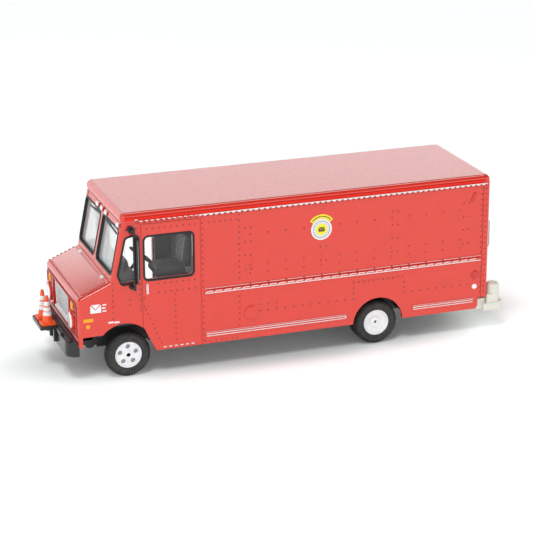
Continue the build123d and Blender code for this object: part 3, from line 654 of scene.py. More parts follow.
class Finishes:
    """Every material of the truck, made once."""

    def __init__(self) -> None:
        """Builds the materials."""
        self.paint = CastPaint().build()
        # rivet heads: a darker copy of the body paint, painted shade that makes each head read as
        # raised
        self.rivet = CastPaint("rivet_paint", (0.36, 0.005, 0.005), edge=0.04 * MM).build()
        # a darker copy of the body paint: painted shade on the lamp frames, in the apron grooves
        # and on the notches beside the marker lamps
        self.painted_shade_red = CastPaint("painted_shade_red_paint", (0.44, 0.009, 0.008), edge=0.05 * MM).build()
        dull = (0.5, 0.6)
        self.shadow_red = PadPrint("shadow_red", (0.50, 0.007, 0.005), 0.0, dull, 0.12).build()
        # a saturated copy of the body paint with little gloss: painted shade where the roof's joint
        # mirrors only the dim overhead
        self.joint_shade_red = PadPrint("joint_shade_red", (0.84, 0.030, 0.016), 0.0, dull, 0.15).build()
        # a pale copy of the body paint: painted highlight along the roof's edge
        self.glint = PadPrint("edge_glint", (0.94, 0.50, 0.47)).build()
        self.base_black = Moulded("base_black", (0.018, 0.018, 0.019), (0.4, 0.55)).build()
        self.gloss_black = Moulded("gloss_black", (0.016, 0.017, 0.019), (0.16, 0.26),
                                   grain=0.002 * MM).build()
        self.trim_black = Moulded("trim_black", (0.014, 0.014, 0.015), (0.28, 0.4)).build()
        self.gasket = Moulded("gasket_black", (0.006, 0.006, 0.007), (0.45, 0.6)).build()
        self.cream = Moulded("cream_plastic", (0.74, 0.74, 0.66), (0.36, 0.46), drift=0.02,
                             subsurface=0.25).build()
        self.cab_grey = Moulded("cab_grey", (0.105, 0.11, 0.11), (0.4, 0.55)).build()
        self.seat_grey = Moulded("seat_grey", (0.07, 0.073, 0.073), (0.42, 0.6),
                                 grain=0.02 * MM).build()
        # a pale grey for the seat piping and bulkhead ribs: painted highlight along edges in the
        # dark cab
        self.highlight_grey = Moulded("highlight_grey", (0.30, 0.31, 0.31), (0.4, 0.55)).build()
        self.clear = ClearSheet().build()
        self.white_lens = LampLens("white_lens", (0.86, 0.88, 0.88)).build()
        self.amber_lens = LampLens("amber_lens", (0.95, 0.36, 0.02)).build()
        self.red_lens = LampLens("red_lens", (0.62, 0.010, 0.012)).build()
        self.grille = PadPrint("grille_silver", (0.62, 0.64, 0.65), metallic=0.35).build()
        self.silver = PadPrint("silver_print", (0.86, 0.85, 0.84), metallic=0.1).build()
        self.white = PadPrint("white_print", (0.90, 0.90, 0.90)).build()
        self.amber = PadPrint("amber_print", (1.0, 0.40, 0.01)).build()
        self.yellow = PadPrint("yellow_print", (0.95, 0.84, 0.02)).build()
        self.dark_ink = PadPrint("dark_print", (0.10, 0.06, 0.03)).build()
        # grey ink for the badge's ticks and the grille's backing, and painted shade on the floors
        # of the wheels' hand holes
        self.grey_ink_and_shade = PadPrint("grey_print_and_shade", (0.34, 0.33, 0.42)).build()
        # a pale copy of the body paint: painted highlight on the header louvres and the apron
        # ridges
        self.highlight_red = PadPrint("highlight_red", (0.86, 0.42, 0.40)).build()
        self.wheel = Moulded("wheel_white", (0.86, 0.86, 0.87), (0.25, 0.35), drift=0.02,
                             subsurface=0.15).build()
        self.tyre = TyreRubber().build()
        self.steel = BareMetal("drawn_steel").build()
        self.black_steel = BareMetal("black_steel", (0.02, 0.02, 0.022), (0.35, 0.5)).build()
        self.foil = BareMetal("mirror_foil", (0.85, 0.86, 0.88), (0.04, 0.08)).build()
        self.cone = Moulded("cone_orange", (0.95, 0.105, 0.012), (0.3, 0.42), drift=0.03,
                            subsurface=0.2).build()


class PackedNodes:
    """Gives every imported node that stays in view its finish."""

    def __init__(self, finish: Finishes) -> None:
        """Lists the finish of each node.

        Args:
            finish: the materials.
        """
        self.by_slot = {
            "body_paint": finish.paint,
            "base_plastic": finish.base_black,
            "bumper_plastic": finish.gloss_black,
            "trim_plastic": finish.trim_black,
            "cream_plastic": finish.cream,
            "interior_plastic": finish.cab_grey,
            "clear_plastic": finish.clear,
            "lamp_clear": finish.white_lens,
            "lamp_amber": finish.amber_lens,
            "lamp_red": finish.red_lens,
            "grille_plastic": finish.grille,
            "mirror_foil": finish.foil,
            "wheel_plastic": finish.wheel,
            "tyre_rubber": finish.tyre,
            "steel": finish.steel,
            "cone_plastic": finish.cone,
        }
        self.by_node = {"front_axle_rod": finish.black_steel, "rear_axle_rod": finish.black_steel,
                        "driver_seat": finish.seat_grey}

    def dress(self) -> None:
        """Assigns the materials by each node's slot in the record."""
        for part in frame["record"]["subparts"]:
            node = frame["nodes"][part["node"]]
            node.data.materials.clear()
            usual = self.by_slot[part["material_slot"]]
            node.data.materials.append(self.by_node.get(part["node"], usual))
            LOG.info("node %s: %s", part["node"], part["material_slot"])


# --- where detail is laid ----------------------------------------------------


@dataclass(frozen=True)
class Casting:
    """The flat faces of the body casting that detail is laid on.

    Attributes:
        half_width: from the middle to a side wall.
        rear_x: the back wall.
        cowl: the foot of the windscreen plane, in X and Z.
        header: its top.
        brow: the front edge of the hood.
    """

    half_width: float = 18.5
    rear_x: float = -63.5
    cowl: Pair = (51.9, 29.0)
    header: Pair = (48.3, 46.4)
    brow: Pair = (61.4, 25.0)

    def side(self, side: Side) -> Facing:
        """A side wall: across runs forward, along runs up."""
        out = side.value
        return Facing((0, out * self.half_width, 0), (1, 0, 0), (0, 0, 1), (0, out, 0))

    def nose(self) -> Facing:
        """The nose: across runs to the left, along runs up from the ground."""
        return Facing((self.brow[0], 0, 0), (0, 1, 0), (0, 0, 1), (1, 0, 0))

    def rear(self) -> Facing:
        """The back wall: across runs to the left, along runs up from the ground."""
        return Facing((self.rear_x, 0, 0), (0, 1, 0), (0, 0, 1), (-1, 0, 0))

    def slope(self, foot: Pair, top: Pair, up: bool) -> Facing:
        """A sloping face between two points in X and Z.

        Args:
            foot: where along is zero.
            top: where along points to.
            up: whether the face's outward side is to the right of the way from foot to top.

        Returns:
            The facing, with across to the left.
        """
        step = np.subtract(top, foot) / math.dist(foot, top)
        turn = 1 if up else -1
        out = (turn * step[1], 0, -turn * step[0])
        return Facing((foot[0], 0, foot[1]), (0, 1, 0), (step[0], 0, step[1]), out)

    def screen(self) -> Facing:
        """The windscreen plane: along runs up it from the cowl."""
        return self.slope(self.cowl, self.header, True)

    def hood(self) -> Facing:
        """The hood: along runs down it from the cowl to the brow."""
        return self.slope(self.cowl, self.brow, False)

    def up_screen(self, height: float) -> float:
        """How far up the windscreen plane a height over the ground lies."""
        rise = self.header[1] - self.cowl[1]
        return (height - self.cowl[1]) * math.dist(self.cowl, self.header) / rise


def on_face(flat: np.ndarray, level: float = 0.0) -> np.ndarray:
    """Adds a third, equal coordinate to flat points."""
    flat = np.asarray(flat, float)
    return np.hstack([flat, np.full((len(flat), 1), level)])


def plates(centres: np.ndarray, size: Pair, height: float, radius: float,
           bevel: float = 0.03, base: float = 0.0) -> Shape:
    """Equal rounded plates at flat places.

    Args:
        centres: a (k, 2) array.
        size: width across and height along.
        height: how far they stand out.
        radius: their corners' radius.
        bevel: their front edge's radius.
        base: the level of their foot.

    Returns:
        One shape in local directions.
    """
    outline = rounded_outline(rectangle(*size), radius, 5)
    return raised_plate(outline, height, bevel, base).repeated(on_face(centres))


def bar(x: Pair, z: Pair, height: float, base: float = 0.0,
        radius: float = 0.08, bevel: float = 0.03) -> Shape:
    """One rounded plate between two limits each way."""
    centre = [(sum(x) / 2, sum(z) / 2)]
    return plates(centre, (x[1] - x[0], z[1] - z[0]), height, radius, bevel, base)


def band(x: Pair, z: Pair, height: float, base: float = 0.0,
         radius: float = 0.05) -> Shape:
    """A bar as thin as a print, its front edge all but sharp."""
    return bar(x, z, height, base, radius, 0.01)


def joined(shapes: list[Shape]) -> Shape:
    """Adds up a list of shapes."""
    total = shapes[0]
    for shape in shapes[1:]:
        total = total + shape
    return total


@dataclass
class Assembly:
    """Pieces of one kind, laid on the body casting.

    Attributes:
        casting: the faces of the body.
    """

    casting: Casting = field(default_factory=Casting)


# --- rivets ------------------------------------------------------------------


@dataclass(frozen=True)
class RivetRow:
    """Rivets from one flat point to another, about a pitch apart.

    Attributes:
        start: the first rivet.
        end: the last rivet.
        pitch: the distance aimed at between them.
    """

    start: Pair
    end: Pair
    pitch: float

    def places(self) -> np.ndarray:
        """Evenly spaced points that include both ends."""
        count = round(math.dist(self.start, self.end) / self.pitch) + 1
        return np.linspace(self.start, self.end, count)


@dataclass
class Rivets(Assembly):
    """Rivet heads of the whole casting, in rows as on real sheet panels.

    Attributes:
        radius: a head's radius.
        height: how far it stands out.
        fine: the common pitch along seams.
        bay: the pitch of the upright ribs behind the cargo wall.
        first_bay: the first rib's X.
        bays: how many ribs there are.
        doorway_z: heights at which the open right doorway's front edge bends.
        doorway_x: its front edge's X there.
        doorway_rear: its rear edge's X.
        badge_gap: the radius about the printed badge that has no rivets.
        belt: the height of the heads on the belt rail.
        belt_head: their level and growth.
        drip: the height of the heads under the drip rail.
        drip_head: their level and growth.
    """

    radius: float = 0.27
    height: float = 0.2
    fine: float = 1.7
    bay: float = 5.43
    first_bay: float = 11.1
    bays: int = 13
    doorway_z: tuple[float, ...] = (9.6, 19.6, 22.0, 42.6)
    doorway_x: tuple[float, ...] = (37.3, 41.3, 42.7, 42.7)
    doorway_rear: float = 29.0
    badge_gap: float = 4.8
    belt: float = 23.95
    belt_head: Pair = (0.2, 1.15)
    drip: float = 45.72
    drip_head: Pair = (0.28, 1.5)

    @property
    def ribs(self) -> np.ndarray:
        """The upright ribs' X."""
        return self.first_bay - self.bay * np.arange(self.bays)

    def seam_rows(self) -> list[RivetRow]:
        """Rows along the side wall's seams, round its doors and over its arches."""
        return [
            RivetRow((15.0, 43.5), (23.2, 43.5), 1.64),
            RivetRow((27.2, 43.5), (41.2, 43.5), 1.67),
            RivetRow((14.3, 25.9), (14.3, 44.8), self.fine),
            RivetRow((14.3, 11.9), (14.3, 20.5), self.fine),
            RivetRow((-61.1, 12.5), (-61.1, 20.4), self.fine),
            RivetRow((-60.9, 24.9), (-60.9, 44.5), self.fine),
            RivetRow((-62.3, 12.5), (-62.3, 44.5), self.fine),
            RivetRow((25.1, 8.6), (25.1, 20.5), self.fine),
            RivetRow((25.1, 24.7), (25.1, 43.6), self.fine),
            RivetRow((-20.7, 20.3), (-36.0, 20.3), 1.6),
            RivetRow((-20.7, 15.3), (-20.7, 18.7), 1.7),
            RivetRow((-18.0, 15.4), (3.1, 15.4), 2.65),
            RivetRow((3.1, 17.4), (8.0, 17.4), 2.45),
            RivetRow((5.7, 15.4), (8.0, 15.4), 2.3),
            RivetRow((-36.5, 15.4), (-36.5, 18.7), 1.65),
            RivetRow((-39.2, 15.4), (-57.0, 15.4), 2.69),
            RivetRow((42.0, 20.1), (37.6, 9.5), 1.65),
            RivetRow((33.3, 10.0), (33.3, 23.5), 1.65),
            RivetRow((27.5, 27.2), (38.0, 27.2), 1.75),
            RivetRow((27.5, 24.6), (38.0, 24.6), 1.75),
            RivetRow((43.4, 19.9), (43.4, 27.6), 1.6),
            RivetRow((42.35, 21.0), (42.35, 23.4), 1.6),
            RivetRow((46.5, 21.8), (46.5, 23.3), 1.5),
            RivetRow((51.4, 18.4), (51.4, 28.6), self.fine),
            RivetRow((44.3, 43.9), (47.4, 43.9), 1.55),
            RivetRow((15.0, 8.2), (24.6, 8.2), 1.65),
        ]

    def bay_places(self) -> np.ndarray:
        """Scattered rivets that follow the upright ribs of the cargo wall."""
        singles = np.array([38.7, 29.6, 27.0])
        ladder = np.array([40.6, 36.5, 32.5, 28.3])
        pairs = np.array([12.5, 10.8, -10.3, -12.0, -32.5, -34.3, -55.1, -56.7])
        grids = ((self.ribs, singles), (pairs, ladder))
        return np.vstack([np.stack(np.meshgrid(*pair), -1).reshape(-1, 2) for pair in grids])

    def side_places(self) -> np.ndarray:
        """All rivets of one side wall but those the badge would cover."""
        places = np.vstack([row.places() for row in self.seam_rows()] + [self.bay_places()])
        return places[np.linalg.norm(places - BADGE, axis=1) > self.badge_gap]

    def off_doorway(self, places: np.ndarray) -> np.ndarray:
        """Drops the places that lie in the open right doorway."""
        x, z = places.T
        front = np.interp(z, self.doorway_z, self.doorway_x)
        level = (z > self.doorway_z[0]) & (z < self.doorway_z[-1])
        return places[~(level & (x > self.doorway_rear) & (x < front))]

    def heads(self, places: np.ndarray, level: float = 0.0, grow: float = 1.0) -> Shape:
        """Rivet heads at flat places."""
        return dome(self.radius * grow, self.height * grow).repeated(on_face(places, level))

    def row_heads(self, rows: list[RivetRow]) -> Shape:
        """Rivet heads along some rows."""
        return self.heads(np.vstack([row.places() for row in rows]))

    def side_shape(self, side: Side) -> Shape:
        """A side wall's heads, with those on the belt and under the drip rail."""
        belt = np.stack([self.ribs, np.full_like(self.ribs, self.belt)], -1)
        drip = RivetRow((-62.0, self.drip), (43.6, self.drip), 1.67).places()
        wall = self.side_places()
        if side is Side.RIGHT:
            wall = self.off_doorway(wall)
        on_rails = self.heads(belt, *self.belt_head) + self.heads(drip, *self.drip_head)
        return self.casting.side(side).place(self.heads(wall) + on_rails)

    def front_shape(self) -> Shape:
        """Rows round the hood's edges and across the nose."""
        hood = [RivetRow((side * 17.75, 1.6), (side * 17.75, 9.4), 1.3) for side in BOTH_WAYS]
        hood.append(RivetRow((-16.2, 9.45), (16.2, 9.45), 1.35))
        nose = [RivetRow((-16.4, 23.35), (16.4, 23.35), 1.17)]
        nose += [RivetRow((side * 17.3, 14.6), (side * 17.3, 22.4), 1.3) for side in BOTH_WAYS]
        on_nose = self.casting.nose().place(self.row_heads(nose))
        return self.casting.hood().place(self.row_heads(hood)) + on_nose

    def rear_shape(self) -> Shape:
        """Rows round the rear frame."""
        rows = [RivetRow((side * 15.0, 13.0), (side * 15.0, 43.0), self.fine) for side in BOTH_WAYS]
        rows.append(RivetRow((-17.0, 45.2), (17.0, 45.2), 1.7))
        rows.append(RivetRow((-13.6, 11.6), (13.6, 11.6), 1.7))
        return self.casting.rear().place(self.row_heads(rows))

    def build(self, finish: Finishes) -> None:
        """Makes the rivet pieces."""
        groups = [(f"{side.word}_side_rivets", self.side_shape(side)) for side in Side]
        groups += [("nose_rivets", self.front_shape()), ("rear_rivets", self.rear_shape())]
        # every head takes the darker rivet red, painted shade on the heads
        for name, shape in groups:
            make_piece(name, shape, finish.rivet, "body_paint")


# --- prints on the side rails ------------------------------------------------


@dataclass
class RailPrints(Assembly):
    """Silver and white lines rubbed on the raised rails of a side wall.

    Attributes:
        drip_x: the drip rail's ends.
        cab_x: where its solid face ends and the dashes over the cab begin.
        belt_x: the belt rail's ends.
        dash: length of a belt dash.
        dash_pitch: its pitch.
        screw_pitch: the pitch of the dashes over the cab.
        ink: thickness of the print.
        rail: how far the drip and belt rails stand out.
        rub: how far the rub rails stand out.
        channel: the level of the belt's channels.
        roof_front: where the roof's side joint ends.
        glint: the roof edge's half width, front and level.
        glint_corner: the radius of its front corner.
    """

    drip_x: Pair = (-62.4, 43.9)
    cab_x: float = 26.0
    belt_x: Pair = (-60.9, 24.5)
    dash: float = 1.9
    dash_pitch: float = 2.72
    screw_pitch: float = 1.67
    ink: float = 0.03
    rail: float = 0.3
    rub: float = 0.2
    channel: float = 0.14
    roof_front: float = 47.4
    glint: Triple = (17.84, 47.95, 48.33)
    glint_corner: float = 0.9

    def drip_print(self) -> Shape:
        """The drip rail's bright face and the hook at its front end."""
        face = bar((self.drip_x[0], self.cab_x), (45.74, 46.26), self.ink, self.rail)
        row = RivetRow((self.cab_x + 0.8, 46.1), (self.drip_x[1] - 1.0, 46.1), self.screw_pitch)
        dashes = plates(row.places(), (0.95, 0.3), self.ink, 0.1, base=self.rail)
        curl = on_face(ellipse(arc(-60, 170, 12), -0.42, 0.42, (44.15, 46.2)), 0.16)
        return face + dashes + tube(curl, 0.12, 8)

    def belt_print(self) -> Shape:
        """The belt rail's dashes, each with a slanting foot, and the lines about them."""
        count = int((self.belt_x[1] - self.belt_x[0]) / self.dash_pitch)
        front = self.belt_x[1] - 0.4 - self.dash_pitch * np.arange(count)
        line = bar(self.belt_x, (22.52, 22.78), self.ink, self.rail)
        middles = np.stack([front - self.dash / 2, np.full(count, 23.2)], -1)
        dashes = plates(middles, (self.dash, 0.24), self.ink, 0.1, base=self.rail)
        slant = np.array([(0.15, 22.66), (0.55, 22.66), (0.05, 23.2), (-0.3, 23.2)])
        foot = raised_plate(slant, self.ink, 0.01, self.rail)
        feet = foot.repeated(np.stack([front, np.zeros(count), np.zeros(count)], -1))
        top = band((self.belt_x[0], self.belt_x[1] + 0.2), (23.98, 24.08), self.ink, 0.22, 0.03)
        return line + dashes + feet + top

    def rub_print(self) -> Shape:
        """The rub rails' two lines and the thin one over them."""
        lines = []
        for front, rear in ((24.3, -18.2), (-39.4, -59.1)):
            lines.append(bar((rear + 0.4, front), (10.31, 10.53), 0.13, self.rub))
            lines.append(bar((rear + 0.4, front), (9.67, 9.89), 0.13, self.rub))
            lines.append(band((rear, front), (10.86, 10.94), self.ink, self.rub, 0.03))
        lines.append(bar((-18.3, -17.9), (9.75, 10.5), 0.12, self.rub, 0.1, 0.05))
        return joined(lines)

    def step_print(self) -> Shape:
        """Bright screws along the foot of the cab door."""
        return plates(RivetRow((28.4, 8.15), (36.6, 8.15), 1.65).places(), (0.9, 0.3), 0.1, 0.12)

    def shade_bands(self) -> Shape:
        """Bands of painted shade in the belt's channels, and a line of painted shade where the
        roof's edge turns.
        """
        belt = (self.belt_x[0] + 0.3, self.belt_x[1] - 0.3)
        channels = [band(belt, z, self.ink, self.channel) for z in ((23.42, 23.84), (22.28, 22.46))]
        return joined(channels) + band((self.drip_x[0] + 0.6, self.roof_front), (47.1, 47.38), 0.02)

    def roof_joint(self) -> Shape:
        """The band between the drip rail and the roof's edge, a saturated red of little gloss:
        painted shade where the band mirrors only the dim overhead.
        """
        return band((self.drip_x[0] + 0.6, self.roof_front), (46.34, 47.1), 0.02)

    def roof_glint(self) -> Shape:
        """A fine bead of painted highlight along the roof's left edge and round its front corner.
        """
        half, front, level = self.glint
        corner = self.glint_corner
        along = np.linspace(-61.5, front - corner, 24)
        side = np.stack([along, np.full(24, half)], -1)
        bend = ellipse(arc(90, 0, 7), corner, corner, (front - corner, half - corner))
        across = np.stack([np.full(8, front), np.linspace(half - corner, 0, 8)], -1)
        return tube(on_face(np.vstack([side, bend[1:], across[1:]]), level), 0.085, 8)

    def build(self, finish: Finishes) -> None:
        """Makes the prints of both sides, and the painted shade and painted highlight along the
        rails and the roof's edge.
        """
        prints = {"drip": self.drip_print(), "belt": self.belt_print(), "rub": self.rub_print(),
                  "step": self.step_print()}
        for side in Side:
            place, word = self.casting.side(side).place, side.word
            for line, shape in prints.items():
                make_piece(f"{word}_{line}_print", place(shape), finish.silver, "trim_plastic")
            glint = self.roof_glint() if side is Side.LEFT else self.roof_glint().mirrored()
            bands, joint = place(self.shade_bands()), place(self.roof_joint())
            for name, shape, material in (("rail_bands", bands, finish.shadow_red),
                                          ("roof_joint", joint, finish.joint_shade_red),
                                          ("roof_glint", glint, finish.glint)):
                make_piece(f"{word}_{name}", shape, material, "body_paint")


# --- windows -----------------------------------------------------------------


@dataclass
class WindowSeals(Assembly):
    """Black rubber seals round every window, turned into the openings.

    Attributes:
        bead: the seal's width on the outside.
        proud: how far it stands out.
        sleeve: how deep it lines a side opening.
        screen_sleeve: how deep it lines a windscreen opening.
        door: the door window's X and Z limits.
        quarter: the quarter window's corners in X and Z.
        pane_y: a windscreen pane's limits across.
        pane_z: its foot and top over the ground.
        corners: the corner radii of the door window, quarter window and pane.
    """

    bead: float = 0.5
    proud: float = 0.14
    sleeve: float = 0.28
    screen_sleeve: float = 1.12
    door: tuple[float, float, float, float] = (27.9, 42.0, 28.7, 41.2)
    quarter: tuple[Pair, ...] = (
        (43.8, 28.9), (48.6, 28.0), (49.7, 31.0), (47.3, 41.4), (43.8, 42.1))
    pane_y: Pair = (1.35, 17.3)
    pane_z: Pair = (31.1, 43.6)
    corners: Triple = (1.2, 0.95, 1.1)

    def section(self, sleeve: float) -> np.ndarray:
        """The seal's closed section: a round bead outside and a thin lining as deep as sleeve."""
        corner = ellipse(arc(0, 90, 4), self.proud, self.proud, (self.bead - self.proud, 0.0))
        lining = [(-0.02, self.proud), (-0.07, self.proud - 0.05), (-0.07, -sleeve),
                  (0.01, -sleeve), (0.01, -0.04), (self.bead, -0.04)]
        return np.vstack([corner, lining])

    def outlines(self) -> list[np.ndarray]:
        """The door and quarter windows in X and Z, and the left pane on its own plane."""
        x0, x1, z0, z1 = self.door
        low, high = (self.casting.up_screen(z) for z in self.pane_z)
        y0, y1 = self.pane_y
        shapes = (rectangle(x1 - x0, z1 - z0, ((x0 + x1) / 2, (z0 + z1) / 2)),
                  np.array(self.quarter),
                  rectangle(y1 - y0, high - low, ((y0 + y1) / 2, (low + high) / 2)))
        return [rounded_outline(*pair, 9) for pair in zip(shapes, self.corners)]

    def build(self, finish: Finishes) -> None:
        """Makes the seals: the open right doorway has none."""
        door, quarter, pane = self.outlines()
        door, quarter = (frame_ring(line, self.section(self.sleeve)) for line in (door, quarter))
        pane = self.casting.screen().place(frame_ring(pane, self.section(self.screen_sleeve)))
        for side in Side:
            place = self.casting.side(side).place
            seals = {"door": place(door), "quarter": place(quarter),
                     "screen": pane if side is Side.LEFT else pane.mirrored()}
            if side is Side.RIGHT:
                del seals["door"]
            for window, shape in seals.items():
                make_piece(f"{side.word}_{window}_seal", shape, finish.gasket, "trim_plastic",
                           crease=50)


# --- front of the van --------------------------------------------------------


@dataclass
class HeaderTrim(Assembly):
    """Louvres with painted highlight on their slats, marker lamps, and notches of painted shade
    beside them, over the windscreen.

    Attributes:
        louvre_y: where each set of slats starts and ends, on the left.
        louvre_z: the slats' foot and top over the ground.
        slats: how many in a set.
        lamps: the marker lamps' Y.
        lamp_z: their height over the ground.
        lens: a lens's width and height.
        notch: a notch's width and height.
    """

    louvre_y: Pair = (6.6, 15.2)
    louvre_z: Pair = (44.25, 45.85)
    slats: int = 14
    lamps: tuple[float, ...] = (-16.7, -4.5, 0.0, 4.5, 16.7)
    lamp_z: float = 45.0
    lens: Pair = (2.0, 1.3)
    notch: Pair = (0.4, 1.3)

    def louvres(self) -> Shape:
        """Both sets of upright slats."""
        low, high = (self.casting.up_screen(z) for z in self.louvre_z)
        across = np.linspace(*self.louvre_y, self.slats)
        both = np.concatenate([across, -across])
        places = np.stack([both, np.full(len(both), (low + high) / 2)], -1)
        return plates(places, (0.28, high - low), 0.2, 0.08, 0.06)

    def beside_lamps(self, shift: float) -> list[Pair]:
        """Places on the windscreen plane that are shifted to the left of each lamp's middle."""
        return [(y + shift, self.casting.up_screen(self.lamp_z)) for y in self.lamps]

    def build(self, finish: Finishes) -> None:
        """Makes the slats, notches and lenses."""
        place = self.casting.screen().place
        notches = plates(self.beside_lamps(1.2), self.notch, 0.5, 0.15, 0.08)
        lenses = plates(self.beside_lamps(-0.1), self.lens, 0.7, 0.4, 0.25)
        # the slats take the pale red, painted highlight on their edges
        make_piece("header_louvres", place(self.louvres()), finish.highlight_red, "body_paint")
        # the notches take the darker red, painted shade on one side of each marker lamp
        make_piece("marker_lamp_notches", place(notches), finish.painted_shade_red, "body_paint")
        make_piece("marker_lamp_lenses", place(lenses), finish.white_lens, "lamp_clear",
                   replaces=("clearance_lamps",))


@dataclass
class HoodTrim(Assembly):
    """The raised hood panel, its hinges and the cowl strip behind it.

    Attributes:
        panel: the panel's half width, rear and front down the hood.
        strip: the strip's half width, rear and front.
        hinge: a hinge's place from the middle and down the hood.
        leaf: its width and length.
    """

    panel: Triple = (16.9, 1.0, 8.9)
    strip: Triple = (17.2, 0.15, 0.5)
    hinge: Pair = (12.0, 0.75)
    leaf: Pair = (2.2, 0.95)

    def build(self, finish: Finishes) -> None:
        """Makes the panel, strip and hinges."""
        place = self.casting.hood().place
        half, rear, front = self.panel
        panel = bar((-half, half), (rear, front), 0.14, 0.0, 0.9, 0.1)
        half, rear, front = self.strip
        strip = bar((-half, half), (rear, front), 0.16, 0.0, 0.1, 0.08)
        make_piece("hood_panel", place(panel + strip), finish.paint, "body_paint")
        y, down = self.hinge
        leaves = plates([(side * y, down) for side in BOTH_WAYS], self.leaf, 0.3, 0.2, 0.12)
        make_piece("hood_hinges", place(leaves), finish.white, "trim_plastic")


@dataclass
class NoseTrim(Assembly):
    """Raised frames round the lamps and the ridges across the apron, with painted shade on the
    frames and grooves and painted highlight on the ridges.

    Attributes:
        bay_z: the lamp bays' foot and top.
        post_y: the inner posts' Y, between grille and lamps.
        edge_y: the outer posts' Y, at the nose's corners.
        divider_z: the bar between headlamp and signal.
        ridge_z: the apron ridges.
        ridge_half: half a ridge's width across the nose.
        groove_half: half a groove's.
        land_half: half the flat's between them.
    """

    bay_z: Pair = (14.1, 22.95)
    post_y: float = 9.3
    edge_y: float = 16.35
    divider_z: float = 19.95
    ridge_z: Pair = (13.0, 11.6)
    ridge_half: float = 17.2
    groove_half: float = 17.1
    land_half: float = 17.3

    def frames(self) -> Shape:
        """Posts and bars of both lamp bays."""
        low, high = self.bay_z
        middle, tall = (low + high) / 2, high - low
        shapes = [bar((-16.6, 16.6), (22.72, 23.0), 0.35, 0.0, 0.12, 0.1)]
        for side in BOTH_WAYS:
            shapes.append(plates([(side * self.post_y, middle)], (1.0, tall), 0.55, 0.2, 0.15))
            shapes.append(plates([(side * self.edge_y, middle)], (0.5, tall), 0.4, 0.15, 0.12))
            shapes.append(plates([(side * LAMP_BAY, self.divider_z)], (6.6, 0.55), 0.6, 0.15, 0.12))
        return joined(shapes)

    def ridges(self) -> Shape:
        """The two ridges under the grille, which take painted highlight."""
        y = (-self.ridge_half, self.ridge_half)
        return joined([bar(y, (z - 0.11, z + 0.11), 0.24, 0.0, 0.1, 0.1) for z in self.ridge_z])

    def grooves(self) -> Shape:
        """Thin bars of painted shade under and over each ridge."""
        y = (-self.groove_half, self.groove_half)
        beside = ((-0.36, -0.13), (0.13, 0.3))
        pairs = [(z + low, z + high) for z in self.ridge_z for low, high in beside]
        return joined([bar(y, pair, 0.06, 0.0, 0.05, 0.02) for pair in pairs])

    def lands(self) -> Shape:
        """The broad flat between the ridges."""
        return bar((-self.land_half, self.land_half), (11.85, 12.75), 0.14, 0.0, 0.1, 0.08)

    def build(self, finish: Finishes) -> None:
        """Makes frames, flat, grooves and ridges."""
        # the frames and grooves take the darker red as painted shade, the ridges the pale red as
        # painted highlight
        for name, shape, material in (("nose_frames", self.frames(), finish.painted_shade_red),
                                      ("apron_lands", self.lands(), finish.paint),
                                      ("apron_grooves", self.grooves(), finish.painted_shade_red),
                                      ("apron_ridges", self.ridges(), finish.highlight_red)):
            make_piece(name, self.casting.nose().place(shape), material, "body_paint")


@dataclass
class Lamps(Assembly):
    """Headlamps with rims and fluted signal lenses.

    Attributes:
        lamp_z: the headlamps' height.
        lamp_r: their radius.
        pod: how far the lamp stands out.
        signal_z: the signals' height.
        signal_half: half a signal's width and height.
        flutes: how many times its front ripples.
        flute: half a ripple's depth.
    """

    lamp_z: float = 17.5
    lamp_r: float = 2.35
    pod: float = 0.9
    signal_z: float = 21.7
    signal_half: Pair = (0.95, 1.1)
    flutes: int = 6
    flute: float = 0.05

    def lens(self) -> Shape:
        """A headlamp's front: radius falls off a flat crown along a quarter ellipse."""
        turn = arc(90, 0, 9)
        radius = self.lamp_r * np.concatenate([[0.15, 0.45], 0.7 + 0.3 * np.cos(turn)])
        height = self.pod + np.concatenate([[0.5, 0.49], 0.46 * np.sin(turn)])
        profile = np.vstack([np.stack([radius, height], -1), [self.lamp_r, self.pod - 0.05]])
        return lathe(profile, 48)

    def rim(self) -> Shape:
        """A round ring about the lens."""
        section = ellipse(full_turn(10), 0.2, 0.22, (self.lamp_r + 0.2, self.pod + 0.02))
        return lathe(section, 48, closed=True)

    def signal(self) -> Shape:
        """A square lens whose front ripples across with a cosine and falls off at its edge."""
        across, along = np.meshgrid(np.linspace(-1, 1, 41), np.linspace(-1, 1, 21), indexing="ij")
        edge = np.clip((1 - np.maximum(np.abs(across), np.abs(along))) / 0.14, 0, 1)
        ripple = self.flute * edge * np.cos(across * self.flutes * np.pi)
        level = 0.1 + 0.38 * np.sin(edge * np.pi / 2) + ripple
        half_y, half_z = self.signal_half
        return Shape.sheet(np.stack([across * half_y, along * half_z, level], -1))

    def build(self, finish: Finishes) -> None:
        """Makes lamps and signals of both sides."""
        place = self.casting.nose().place
        for side in Side:
            word, y = side.word, side.value * LAMP_BAY
            lens = place(self.lens().moved((y, self.lamp_z, 0)))
            rim = place(self.rim().moved((y, self.lamp_z, 0)))
            signal = place(self.signal().moved((y, self.signal_z, 0.12)))
            make_piece(f"{word}_headlamp_lens", lens, finish.white_lens, "lamp_clear",
                       replaces=(f"{word}_headlamp",))
            make_piece(f"{word}_headlamp_rim", rim, finish.paint, "body_paint")
            make_piece(f"{word}_signal_lens", signal, finish.amber_lens, "lamp_amber",
                       replaces=(f"{word}_turn_signal",))


